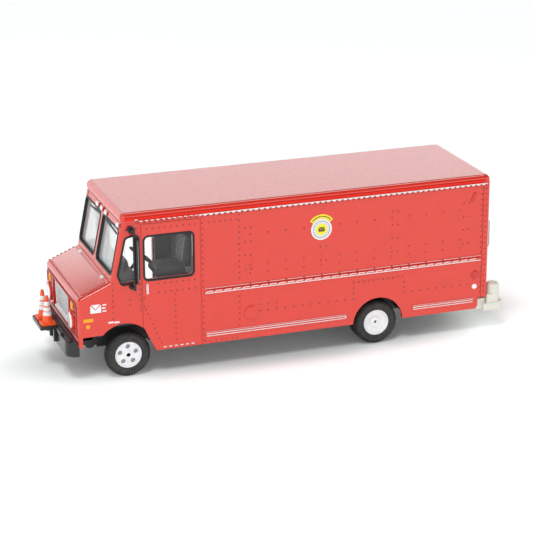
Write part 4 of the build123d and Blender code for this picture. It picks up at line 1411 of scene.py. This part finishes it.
@dataclass
class Grille(Assembly):
    """A silver grille of fine upright bars between cross wires, in a pale frame.

    Attributes:
        half_top: half its width at the top.
        half_foot: half its width at the foot.
        low: its foot.
        high: its top.
        bars: how many upright bars.
        wires: how many cross wires.
        bar_radius: a bar's thickness over two.
        wire_radius: a wire's.
    """

    half_top: float = 7.57
    half_foot: float = 6.47
    low: float = 15.93
    high: float = 22.47
    bars: int = 27
    wires: int = 9
    bar_radius: float = 0.12
    wire_radius: float = 0.07

    @property
    def corners(self) -> np.ndarray:
        """The grille's four corners on the nose."""
        return np.array([(-self.half_foot, self.low), (self.half_foot, self.low),
                         (self.half_top, self.high), (-self.half_top, self.high)])

    def half_at(self, z: np.ndarray) -> np.ndarray:
        """Half the width at a height, growing evenly from foot to top."""
        share = (np.asarray(z) - self.low) / (self.high - self.low)
        return self.half_foot + share * (self.half_top - self.half_foot)

    def rods(self, across: np.ndarray, heights: np.ndarray, level: float, radius: float) -> Shape:
        """Tubes along paths on the nose, one for each row of across and heights."""
        paths = np.stack(np.broadcast_arrays(across, heights, level), -1)
        return joined([tube(path, radius, 6) for path in paths])

    def mesh(self) -> Shape:
        """Leaning bars that keep their share of the width, and level wires over them."""
        share = np.linspace(-0.93, 0.93, self.bars)[:, None]
        up = np.linspace(self.low + 0.3, self.high - 0.3, 6)[None]
        levels = np.linspace(self.low + 0.7, self.high - 0.7, self.wires)[:, None]
        reach = (self.half_at(levels) - 0.25) * np.linspace(-1, 1, 5)[None]
        bars = self.rods(share * self.half_at(up), up, 0.02, self.bar_radius)
        return bars + self.rods(reach, levels, 0.1, self.wire_radius)

    def surround(self) -> Shape:
        """The pale frame and the shelf under it."""
        bead = ellipse(arc(0, 180, 7), 0.16, 0.2, (-0.12, 0.0))
        section = np.vstack([bead, [(-0.28, -0.2), (0.03, -0.2)]])
        shelf = bar((-7.2, 7.2), (14.75, 15.5), 0.55, 0.0, 0.2, 0.15)
        foot = bar((-6.2, 6.2), (15.4, 16.1), 0.22, 0.0, 0.1, 0.08)
        return frame_ring(rounded_outline(self.corners, 0.3, 5), section) + shelf + foot

    def build(self, finish: Finishes) -> None:
        """Makes the plate behind the bars, the bars and the frame."""
        place = self.casting.nose().place
        backing = raised_plate(self.corners, 0.28, 0.05, -0.38)
        make_piece("grille_backing", place(backing), finish.grey_ink_and_shade, "grille_plastic",
                   replaces=("grille",))
        make_piece("grille_mesh", place(self.mesh()), finish.grille, "grille_plastic")
        make_piece("grille_frame", place(self.surround()), finish.white, "trim_plastic")


# --- marks and small fittings ------------------------------------------------


@dataclass
class SideMarks(Assembly):
    """Printed marks and reflectors of a side wall, all plain shapes of no one's design.

    Attributes:
        ink: thickness of the prints.
        bevel: their edges' radius.
        disc: the badge's radius.
        tick_ring: the radius its ticks stand at.
        line_ring: the thin ring's inner and outer radius.
        sun: its yellow middle's radius.
        arch: the arched band's inner and outer radius, and its broken line's.
        letter: the middle of the letter over the front wheel.
        speed_lines: the middles of the lines behind it.
        round_lamp: the rear reflector's place and radius.
        button: the amber button's place and radius.
    """

    ink: float = 0.03
    bevel: float = 0.005
    disc: float = 3.15
    tick_ring: float = 2.5
    line_ring: Pair = (1.95, 2.03)
    sun: float = 1.7
    arch: Triple = (3.25, 4.45, 3.85)
    letter: Pair = (56.4, 22.0)
    speed_lines: tuple[Pair, ...] = ((53.9, 21.1), (54.1, 22.0), (53.9, 22.9))
    round_lamp: Triple = (-59.2, 14.5, 0.8)
    button: Triple = (58.75, 16.95, 0.62)

    def print_on(self, outline: np.ndarray, base: float = 0.0) -> Shape:
        """A thin print of an outline."""
        return raised_plate(outline, self.ink, self.bevel, base)

    def envelope(self, centre: Pair, size: Pair, base: float,
                 gap: float) -> Shape:
        """A letter seen from its flap side: a sheet with a V-shaped gap under the flap.

        Args:
            centre: its middle.
            size: its width and height.
            base: the level it is printed at.
            gap: the width of the line left open.

        Returns:
            The flap and the pocket.
        """
        w, h = size[0] / 2, size[1] / 2
        flap = np.array([(0, -0.15 * h), (w - gap, h), (-w + gap, h)])
        left = np.array([(-w, -h), (0, -h), (0, -0.15 * h - gap), (-w, h - gap)])
        right = np.array([(0, -h), (w, -h), (w, h - gap), (0, -0.15 * h - gap)])
        return joined([self.print_on(part + centre, base) for part in (flap, left, right)])

    def mail_mark(self) -> Shape:
        """A letter with three speed lines behind it."""
        lines = plates(self.speed_lines, (1.1, 0.42), self.ink, 0.12)
        return lines + self.envelope(self.letter, (3.1, 2.5), 0.0, 0.22)

    def turned(self, size: Pair, angle: np.ndarray, radius: float) -> Shape:
        """Small prints on the badge, each turned to face out from its middle."""
        places = on_face(ellipse(angle, radius, radius, BADGE))
        return self.print_on(rectangle(*size), self.ink).repeated(places, spins(angle))

    def badge_ticks(self) -> Shape:
        """Short ticks and a thin ring round the badge's edge."""
        inner, outer = self.line_ring
        low, high = self.ink, 2 * self.ink
        section = np.array([(inner, low), (outer, low), (outer, high), (inner, high)])
        ring = lathe(section, 64, closed=True).moved((*BADGE, 0))
        return self.turned((0.36, 0.5), full_turn(22), self.tick_ring) + ring

    def badge_sun(self) -> Shape:
        """The badge's yellow middle and the arched band over it."""
        sun = self.print_on(disc_outline(self.sun, BADGE), self.ink)
        turn = arc(38, 142, 30)
        inner, outer = (ellipse(turn, radius, radius, BADGE) for radius in self.arch[:2])
        levels = ((inner, 0.0), (outer, 0.0), (outer, self.ink), (inner, self.ink))
        section = np.stack([on_face(line, level) for line, level in levels], 1)
        return sun + Shape.sheet(section, wrap_cols=True, caps=True)

    def badge_icon(self) -> Shape:
        """The small letter on the badge and the broken line along its band."""
        line = self.turned((0.32, 0.58), arc(48, 132, 9), self.arch[2])
        return self.envelope(BADGE, (1.9, 1.3), 2 * self.ink, 0.12) + line

    def reflectors(self) -> Shape:
        """The white strip over the front wheel and the round one at the rear."""
        strip = plates([(52.15, 17.45), (50.45, 17.3)], (1.5, 0.5), 0.08, 0.12)
        x, z, radius = self.round_lamp
        return strip + raised_plate(disc_outline(radius, (x, z), 32), 0.2, 0.1)

    def ambers(self) -> Shape:
        """The amber strip and button ahead of the front wheel."""
        strip = bar((57.2, 60.0), (18.25, 19.3), 0.08, 0.0, 0.15, 0.04)
        x, z, radius = self.button
        return strip + raised_plate(disc_outline(radius, (x, z), 28), 0.2, 0.1)

    def build(self, finish: Finishes) -> None:
        """Makes the marks of both sides."""
        disc = raised_plate(disc_outline(self.disc, BADGE, 64), self.ink, 0.01)
        marks = (("mail_mark", self.mail_mark(), finish.white, "trim_plastic"),
                 ("badge_disc", disc, finish.white, "trim_plastic"),
                 ("badge_ticks", self.badge_ticks(), finish.grey_ink_and_shade, "trim_plastic"),
                 ("badge_sun", self.badge_sun(), finish.yellow, "trim_plastic"),
                 ("badge_icon", self.badge_icon(), finish.dark_ink, "trim_plastic"),
                 ("reflectors", self.reflectors(), finish.white, "lamp_clear"),
                 ("amber_markers", self.ambers(), finish.amber, "lamp_amber"))
        for side in Side:
            place = self.casting.side(side).place
            for mark, shape, material, slot in marks:
                make_piece(f"{side.word}_{mark}", place(shape), material, slot)


@dataclass
class SideFittings(Assembly):
    """Left door handle, rear side lamps and markers, the right step and the fuel filler's ring.

    Attributes:
        handle: the handle's middle.
        lamp: the side lamp's middle and radius.
        marker: the drop-shaped marker's corners.
        filler: the filler's middle and radius.
        tread_x: the middle of the step's ridges.
        tread_y: where the ridges start and end across the truck.
        tread_z: the step's height over the ground.
        ridges: how many there are.
    """

    handle: Pair = (41.35, 26.0)
    lamp: Triple = (-59.3, 18.1, 1.25)
    marker: tuple[Pair, ...] = (
        (-58.0, 40.8), (-57.1, 41.0), (-58.1, 43.6), (-59.3, 43.9))
    filler: Triple = (10.8, 15.1, 2.15)
    tread_x: float = 33.6
    tread_y: Pair = (-17.0, -13.0)
    tread_z: float = 9.6
    ridges: int = 6

    def handle_shape(self) -> Shape:
        """A back plate with a bent grip: the grip's path rises, runs down and returns."""
        x, z = self.handle
        plate = bar((x - 0.32, x + 0.32), (z - 1.5, z + 1.5), 0.12, 0.0, 0.25, 0.05)
        bends = [(-0.05, 1.2, 0.05), (-0.05, 1.15, 0.4), (-0.05, 0.9, 0.5), (0.0, 0.0, 0.52),
                 (0.0, -0.9, 0.5), (0.0, -1.15, 0.4), (0.0, -1.2, 0.05)]
        return plate + tube(np.array(bends) + (x, z, 0.0), 0.17, 10)

    def lamp_shape(self) -> Shape:
        """A side lamp: a dome of a quarter ellipse on a short wall."""
        x, z, radius = self.lamp
        crown = ellipse(arc(0, 84, 8), radius, 0.34, (0.0, 0.12))
        return lathe(np.vstack([[radius, -0.05], crown]), 36).moved((x, z, 0))

    def marker_shape(self) -> Shape:
        """A leaning drop-shaped marker near the top rear corner."""
        return raised_plate(rounded_outline(np.array(self.marker), 0.3, 5), 0.28, 0.16)

    def tread(self) -> Shape:
        """Ridges across the floor of the right step well, seen from above."""
        across = np.linspace(*self.tread_y, self.ridges)
        places = np.stack([np.full(self.ridges, self.tread_x), across], -1)
        return plates(places, (8.2, 0.36), 0.16, 0.15).moved((0, 0, self.tread_z))

    def ring(self, x: float, z: float, radius: float, width: float, level: float) -> Shape:
        """A half-round ring on the wall."""
        section = ellipse(arc(0, 180, 7), width, width, (radius, level))
        foot = [(radius - width, level - 0.05), (radius + width, level - 0.05)]
        return lathe(np.vstack([section, foot]), 48, closed=True).moved((x, z, 0))

    def build(self, finish: Finishes) -> None:
        """Makes the fittings."""
        lamp_ring = self.ring(*self.lamp[:2], 1.34, 0.13, 0.0)
        for side in Side:
            place, word = self.casting.side(side).place, side.word
            marker, lamp = place(self.marker_shape()), place(self.lamp_shape())
            make_piece(f"{word}_rear_marker", marker, finish.red_lens, "lamp_red")
            make_piece(f"{word}_rear_side_lamp", lamp, finish.red_lens, "lamp_red")
            make_piece(f"{word}_rear_lamp_ring", place(lamp_ring), finish.paint, "body_paint")
        at_left = self.casting.side(Side.LEFT).place
        make_piece("left_door_handle", at_left(self.handle_shape()), finish.silver, "trim_plastic")
        make_piece("right_step_tread", self.tread(), finish.trim_black, "base_plastic")
        x, z, radius = self.filler
        hinge = bar((x - 0.25, x + 0.25), (z + 1.5, z + 1.9), 0.1, 0.16)
        filler = self.ring(x, z, radius - 0.1, 0.1, 0.16) + hinge
        make_piece("fuel_filler_ring", at_left(filler), finish.paint, "body_paint")


# --- cab ---------------------------------------------------------------------


@dataclass
class CabTrim:
    """Piping on the seat, instruments and ribs on the bulkhead; the piping and ribs are pale grey
    as painted highlight.

    Attributes:
        seat_y: the driver's middle.
        seat_front: points down the front of the seat back in X and Z.
        back_half: half the width between the welts of the seat back.
        cushion: the cushion's front in X and Z, and half its width.
        bulkhead_x: the bulkhead's front face.
        rib_y: the Y of its ribs.
        rib_z: the height of their middle.
        binnacle: the middle of the dials' face in X and Z.
        dial_half: half the distance between the dials.
    """

    seat_y: float = 8.2
    seat_front: tuple[Pair, ...] = (
        (28.02, 37.3), (28.35, 35.5), (28.63, 33.2), (28.95, 30.6))
    back_half: float = 2.7
    cushion: Triple = (36.75, 29.15, 3.3)
    bulkhead_x: float = 24.0
    rib_y: tuple[float, ...] = (-16.4, -5.5, 5.5, 16.4)
    rib_z: float = 31.0
    binnacle: Pair = (44.55, 31.1)
    dial_half: float = 1.1

    def piping(self) -> Shape:
        """Welts along both edges of the seat back and round the front of the cushion."""
        x, z = np.array(self.seat_front).T
        edges = (self.seat_y - self.back_half, self.seat_y + self.back_half)
        welts = [tube(np.stack([x, np.full(len(x), y), z], -1), 0.2, 8) for y in edges]
        x, z, half = self.cushion
        across = np.linspace(self.seat_y - half, self.seat_y + half, 8)
        return joined(welts + [tube(np.stack([np.full(8, x), across, np.full(8, z)], -1), 0.14, 8)])

    def ribs(self) -> Shape:
        """Upright ribs on the bulkhead behind the seats."""
        face = Facing((self.bulkhead_x, 0, 0), (0, 1, 0), (0, 0, 1), (1, 0, 0))
        places = [(y, self.rib_z) for y in self.rib_y]
        return face.place(plates(places, (0.3, 25.0), 0.18, 0.12, 0.08))

    def dials(self) -> Shape:
        """Two raised instrument rims on the binnacle."""
        x, z = self.binnacle
        face = Facing((x, 0, z), (0, -1, 0), (0.2, 0, 0.98), (-0.98, 0, 0.2))
        section = np.array([(0.62, 0.0), (0.72, 0.12), (0.82, 0.12), (0.88, 0.0)])
        dial = lathe(section, 24, closed=True)
        return face.place(dial.repeated([(-self.seat_y + shift, 0, 0)
                                         for shift in (-self.dial_half, self.dial_half)]))

    def build(self, finish: Finishes) -> None:
        """Makes the cab's trim."""
        # the welts and ribs take the pale grey, painted highlight on the seat back's edges and the
        # bulkhead
        make_piece("seat_piping", self.piping(), finish.highlight_grey, "interior_plastic")
        make_piece("bulkhead_ribs", self.ribs(), finish.highlight_grey, "interior_plastic")
        make_piece("dial_rims", self.dials(), finish.silver, "trim_plastic")


# --- wheels ------------------------------------------------------------------


@dataclass
class Tyre:
    """A tyre with shoulder lugs, grooves and stepped sidewalls.

    Attributes:
        radius: the tread's radius.
        bead: the rim's radius.
        width: across the tread.
        lugs: how many round the tread.
        notch: how deep the gaps between lugs are.
    """

    radius: float = 6.57
    bead: float = 3.86
    width: float = 3.2
    lugs: int = 50
    notch: float = 0.36

    def half_section(self) -> tuple[np.ndarray, np.ndarray]:
        """Points of (radius, depth) from bead to mid tread, and each one's share of the notch."""
        bead, tread = self.bead, self.radius
        points = np.array([
            (bead, 0.75, 0), (bead + 0.04, 0.4, 0), (bead + 0.16, 0.2, 0), (bead + 0.4, 0.1, 0),
            (4.52, 0.07, 0), (4.58, 0.0, 0), (4.76, 0.0, 0), (4.82, 0.08, 0), (5.3, 0.06, 0),
            (5.36, 0.0, 0), (5.5, 0.0, 0), (5.56, 0.09, 0), (5.75, 0.12, 0), (5.8, 0.1, 0.8),
            (6.05, 0.17, 1), (6.28, 0.32, 1), (6.45, 0.55, 1), (tread - 0.03, 0.8, 1),
            (tread, 1.0, 0.9), (tread - 0.18, 1.02, 0), (tread - 0.18, 1.16, 0),
            (tread, 1.18, 0.5), (tread, 1.5, 0.5),
        ])
        return points[:, :2], points[:, 2]

    def shape(self) -> Shape:
        """Sweeps the section round the axle.

        Radius falls by share * notch in the gap between two lugs, and the sidewall steps in by
        seven tenths of that.

        Returns:
            The tyre about its own axle, its outer face at height zero and its body below.
        """
        half, share = self.half_section()
        ring = np.vstack([half, half[::-1] * (1, -1) + (0, self.width)])
        share = np.concatenate([share, share[::-1]])
        phases = np.array([0.0, 0.5, 0.58, 0.92])
        gap = np.tile([0.0, 0.0, 1.0, 1.0], self.lugs)
        angle = ((np.arange(self.lugs)[:, None] + phases).ravel() / self.lugs) * 2 * np.pi
        cut = self.notch * share[:, None] * gap[None]
        radius = ring[:, :1] - cut
        inward = np.where(ring[:, 1] < self.width / 2, 1.0, -1.0)[:, None]
        on_side = np.abs(ring[:, 1:] - self.width / 2) > self.width / 2 - 0.6
        depth = ring[:, 1:] + 0.7 * cut * inward * on_side
        level = -np.broadcast_to(depth, radius.shape)
        grid = np.stack([radius * np.cos(angle), radius * np.sin(angle), level], -1)
        return Shape.sheet(grid, wrap_rows=True, wrap_cols=True)


@dataclass
class RunningGear:
    """All six tyres and the hub fittings.

    Attributes:
        tyre: the tyre's shape.
        face_y: the outer sidewalls' Y.
        dual_pitch: from an outer rear tyre to the inner one.
        front_x: the front axle's X.
        rear_x: the rear axle's X.
        axle_z: both axles' height.
        hole_ring: the radius the hand holes stand at.
        holes: how many there are.
    """

    tyre: Tyre = field(default_factory=Tyre)
    face_y: float = 17.4
    dual_pitch: float = 3.55
    front_x: float = 47.0
    rear_x: float = -28.4
    axle_z: float = 6.57
    hole_ring: float = 2.4
    holes: int = 5

    def wheel_place(self, side: Side, x: float, inset: float = 0.0) -> Facing:
        """An axle end: across forward, along up, out away from the truck."""
        origin = (x, side.value * (self.face_y - inset), self.axle_z)
        return Facing(origin, (1, 0, 0), (0, 0, 1), (0, side.value, 0))

    def lip(self) -> Shape:
        """The rolled rim lip inside the tyre's bead."""
        return lathe(ellipse(full_turn(10), 0.12, 0.14, (3.72, -0.28)), 72, closed=True)

    def hole_shades(self) -> Shape:
        """Grey discs of painted shade on the floors of the front wheel's hand holes."""
        turn = np.radians(90 + 360 / self.holes * np.arange(self.holes))
        places = on_face(ellipse(turn, self.hole_ring, self.hole_ring), -1.49)
        return raised_plate(disc_outline(0.64, steps=24), 0.3, 0.08).repeated(places)

    def build(self, finish: Finishes) -> None:
        """Makes tyres, rim lips and the painted shade on the hand holes' floors."""
        tyre, lip = self.tyre.shape(), self.lip()
        wheels = (("front", self.front_x, 0.0, FRONT_AXLE),
                  ("rear_outer", self.rear_x, 0.0, REAR_AXLE),
                  ("rear_inner", self.rear_x, self.dual_pitch, REAR_AXLE))
        for side in Side:
            for where, x, inset, body in wheels:
                name = f"{side.word}_{where}"
                tread = self.wheel_place(side, x, inset).place(tyre)
                make_piece(f"{name}_tread", tread, finish.tyre, "tyre_rubber", body,
                           (f"{name}_tyre",))
            front, rear = (self.wheel_place(side, x).place for x in (self.front_x, self.rear_x))
            for name, shape, material, body in (
                    ("front_rim_lip", front(lip), finish.wheel, FRONT_AXLE),
                    ("hand_hole_shades", front(self.hole_shades()), finish.grey_ink_and_shade, FRONT_AXLE),
                    ("rear_rim_lip", rear(lip), finish.wheel, REAR_AXLE)):
                make_piece(f"{side.word}_{name}", shape, material, "wheel_plastic", body)


# --- cones -------------------------------------------------------------------


@dataclass
class ConeBands:
    """White bands of the two traffic cones.

    Attributes:
        x: the cones' X.
        y: the left cone's Y.
        foot_z: the cones' foot.
        height: their height.
        base_top: the height of the base's top over the foot.
        radius: their radius over the base and at the tip.
        bands: each band's lower and upper share of the height.
        ink: how far a band stands out, and how deep it starts.
    """

    x: float = 66.55
    y: float = 2.65
    foot_z: float = 13.2
    height: float = 8.7
    base_top: float = 0.8
    radius: Pair = (1.45, 0.42)
    bands: tuple[Pair, ...] = ((0.33, 0.455), (0.485, 0.61), (0.66, 0.80))
    ink: float = 0.05

    def radius_at(self, z: np.ndarray) -> np.ndarray:
        """The cone's radius at a height over its foot, falling evenly."""
        share = (np.asarray(z) - self.base_top) / (self.height - self.base_top)
        return self.radius[0] + share * (self.radius[1] - self.radius[0])

    def band(self, low: float, high: float) -> Shape:
        """A thin sleeve between two shares of the height."""
        z = np.linspace(low, high, 4) * self.height
        radius = self.radius_at(z)
        outer = np.stack([radius + self.ink, z], -1)
        inner = np.stack([radius - self.ink, z], -1)[::-1]
        return lathe(np.vstack([outer, inner]), 40, closed=True)

    def build(self, finish: Finishes) -> None:
        """Makes both cones' bands."""
        shape = joined([self.band(*pair) for pair in self.bands])
        for side in Side:
            bands = shape.moved((self.x, side.value * self.y, self.foot_z))
            make_piece(f"{side.word}_cone_bands", bands, finish.white, "trim_plastic",
                       f"{side.word}_cone")


# --- rear --------------------------------------------------------------------


@dataclass
class RearTrim(Assembly):
    """The door's frame, grab rails and top markers of the rear.

    Attributes:
        door: the door frame's width and height.
        door_z: the height of its middle.
        rail_y: the grab rails' Y.
        rail_path: a rail's height and distance from the wall, from its foot to its top.
        marker_y: the markers' Y.
        marker_z: their height.
    """

    door: Pair = (28.6, 30.8)
    door_z: float = 27.7
    rail_y: float = 16.9
    rail_path: tuple[Pair, ...] = (
        (26.0, 0.0), (26.1, 0.6), (26.6, 0.8), (33.4, 0.8), (33.9, 0.6), (34.0, 0.0))
    marker_y: tuple[float, ...] = (-3.2, 0.0, 3.2)
    marker_z: float = 46.0

    def door_frame(self) -> Shape:
        """A half-round frame about the roll-up door."""
        outline = rounded_outline(rectangle(*self.door, (0, self.door_z)), 0.5, 5)
        bead = ellipse(arc(0, 180, 7), 0.22, 0.25, (0.1, 0.0))
        return frame_ring(outline, np.vstack([bead, [(-0.12, -0.1), (0.32, -0.1)]]))

    def build(self, finish: Finishes) -> None:
        """Makes the rear fittings."""
        place = self.casting.rear().place
        make_piece("rear_door_frame", place(self.door_frame()), finish.paint, "body_paint")
        rails = [tube([(side * self.rail_y, *point) for point in self.rail_path], 0.2, 10)
                 for side in BOTH_WAYS]
        make_piece("rear_grab_rails", place(joined(rails)), finish.steel, "steel")
        spots = [(y, self.marker_z) for y in self.marker_y]
        markers = plates(spots, (1.6, 0.55), 0.3, 0.2, 0.15)
        make_piece("rear_top_markers", place(markers), finish.red_lens, "lamp_red")


# --- stage -------------------------------------------------------------------


@dataclass
class Studio:
    """A pale floor under a soft bright surround, and the camera.

    Attributes:
        target: where the camera looks, in metres.
        azimuth: the camera's bearing in degrees, 0 looking along +Y.
        elevation: its height over the horizon in degrees.
        distance: from the target, in metres.
        lens: focal length for a 36 mm sensor.
        roll: the camera's turn about its own axis, in degrees.
        horizon: the surround's brightness near the horizon.
        zenith: its brightness overhead.
        pool: half the length and width of the floor's oval about the truck, in metres, where the
            floor's glow is least: painted shade.
        key_power: the key lamp's power in watts.
        key_size: its width in metres.
        key_place: where it hangs, in metres.
    """

    target: Triple = (-0.0004, 0.0, 0.0217)
    azimuth: float = 160.44
    elevation: float = 19.03
    distance: float = 0.5746
    lens: float = 131.77
    roll: float = -0.2
    horizon: float = 1.4
    zenith: float = 0.12
    pool: Pair = (0.1, 0.032)
    key_power: float = 4.1
    key_size: float = 0.35
    key_place: Triple = (0.35, 0.45, 1.0)

    def set_floor(self, size: float = 6.0) -> None:
        """Lays the floor, which glows more from an oval about the truck outwards: painted light,
        dimmest under the truck as painted shadow, its slight cyan offsetting red light bounced off
        the truck.
        """
        mesh = bpy.data.meshes.new("floor")
        corners = rectangle(size, size)
        mesh.from_pydata(np.hstack([corners, np.zeros((4, 1))]).tolist(), [], [(0, 1, 2, 3)])
        nodes = Nodes("studio_floor")
        nodes.set(Base_Color=(0.88, 0.92, 0.915, 1.0), Roughness=0.9, Specular_IOR_Level=0.1,
                  Emission_Color=(0.98, 1.0, 1.0, 1.0))
        squeeze = nodes.add("ShaderNodeMapping", Scale=(1 / self.pool[0], 1 / self.pool[1], 1.0))
        length = nodes.add("ShaderNodeVectorMath")
        length.operation = "LENGTH"
        # the floor's painted light: a glow rising from almost none under the truck to half strength
        # past its oval
        glow = nodes.add("ShaderNodeMapRange", From_Min=0.52, From_Max=0.94,
                         To_Min=0.02, To_Max=0.5)
        glow.interpolation_type = "SMOOTHSTEP"
        nodes.link(nodes.place, "Object", squeeze, "Vector")
        nodes.link(squeeze, "Vector", length, 0)
        nodes.link(length, "Value", glow, "Value")
        nodes.link(glow, "Result", nodes.shader, "Emission Strength")
        mesh.materials.append(nodes.material)
        floor = bpy.data.objects.new("floor", mesh)
        bpy.context.scene.collection.objects.link(floor)

    def set_surround(self) -> None:
        """Lights the scene from a surround that is bright low down and dim overhead."""
        world = bpy.data.worlds.new("surround")
        world.use_nodes = True
        tree = world.node_tree
        tree.nodes.clear()
        place = tree.nodes.new("ShaderNodeTexCoord")
        split = tree.nodes.new("ShaderNodeSeparateXYZ")
        ramp = tree.nodes.new("ShaderNodeValToRGB")
        glow = tree.nodes.new("ShaderNodeBackground")
        output = tree.nodes.new("ShaderNodeOutputWorld")
        low, high = ramp.color_ramp.elements
        low.position, high.position = 0.37, 0.58
        share = self.zenith / self.horizon
        low.color, high.color = (1, 1, 1, 1), (share, share, share, 1)
        glow.inputs["Strength"].default_value = self.horizon
        tree.links.new(place.outputs["Generated"], split.inputs[0])
        tree.links.new(split.outputs["Z"], ramp.inputs["Fac"])
        tree.links.new(ramp.outputs["Color"], glow.inputs["Color"])
        tree.links.new(glow.outputs["Background"], output.inputs["Surface"])
        bpy.context.scene.world = world

    def set_key(self) -> None:
        """Hangs one large soft lamp over the near front corner."""
        light = bpy.data.lights.new("key", "AREA")
        light.shape = "DISK"
        light.size = self.key_size
        light.energy = self.key_power
        lamp = bpy.data.objects.new("key", light)
        lamp.location = self.key_place
        aim = Vector((0.0, 0.0, 0.02)) - lamp.location
        lamp.rotation_euler = aim.to_track_quat("-Z", "Y").to_euler()
        bpy.context.scene.collection.objects.link(lamp)

    def set_camera(self) -> None:
        """Places the camera on its bearing round the target."""
        a, e = math.radians(self.azimuth), math.radians(self.elevation)
        back = Vector((math.sin(a) * math.cos(e), -math.cos(a) * math.cos(e), math.sin(e)))
        data = bpy.data.cameras.new("camera")
        data.lens = self.lens
        data.sensor_width = 36.0
        data.clip_start, data.clip_end = 0.01, 20.0
        camera = bpy.data.objects.new("camera", data)
        camera.location = Vector(self.target) + back * self.distance
        turn = (-back).to_track_quat("-Z", "Y").to_matrix()
        camera.rotation_euler = turn.to_euler()
        camera.rotation_euler.rotate_axis("Z", math.radians(self.roll))
        bpy.context.scene.collection.objects.link(camera)
        bpy.context.scene.camera = camera

    def build(self) -> None:
        """Sets the whole stage."""
        self.set_floor()
        self.set_surround()
        self.set_key()
        self.set_camera()
        bpy.context.scene.view_settings.view_transform = "Standard"


def main() -> None:
    """Builds the stage and the truck's looks in order."""
    logging.basicConfig(level=logging.INFO, format="%(message)s")
    Studio().build()
    finish = Finishes()
    PackedNodes(finish).dress()
    assemblies = (Rivets(), RailPrints(), WindowSeals(), HeaderTrim(), HoodTrim(), NoseTrim(),
                  Lamps(), Grille(), SideMarks(), SideFittings(), CabTrim(), RunningGear(),
                  ConeBands(), RearTrim())
    for assembly in assemblies:
        LOG.info("building %s", type(assembly).__name__)
        assembly.build(finish)


if __name__ == "__main__":
    main()
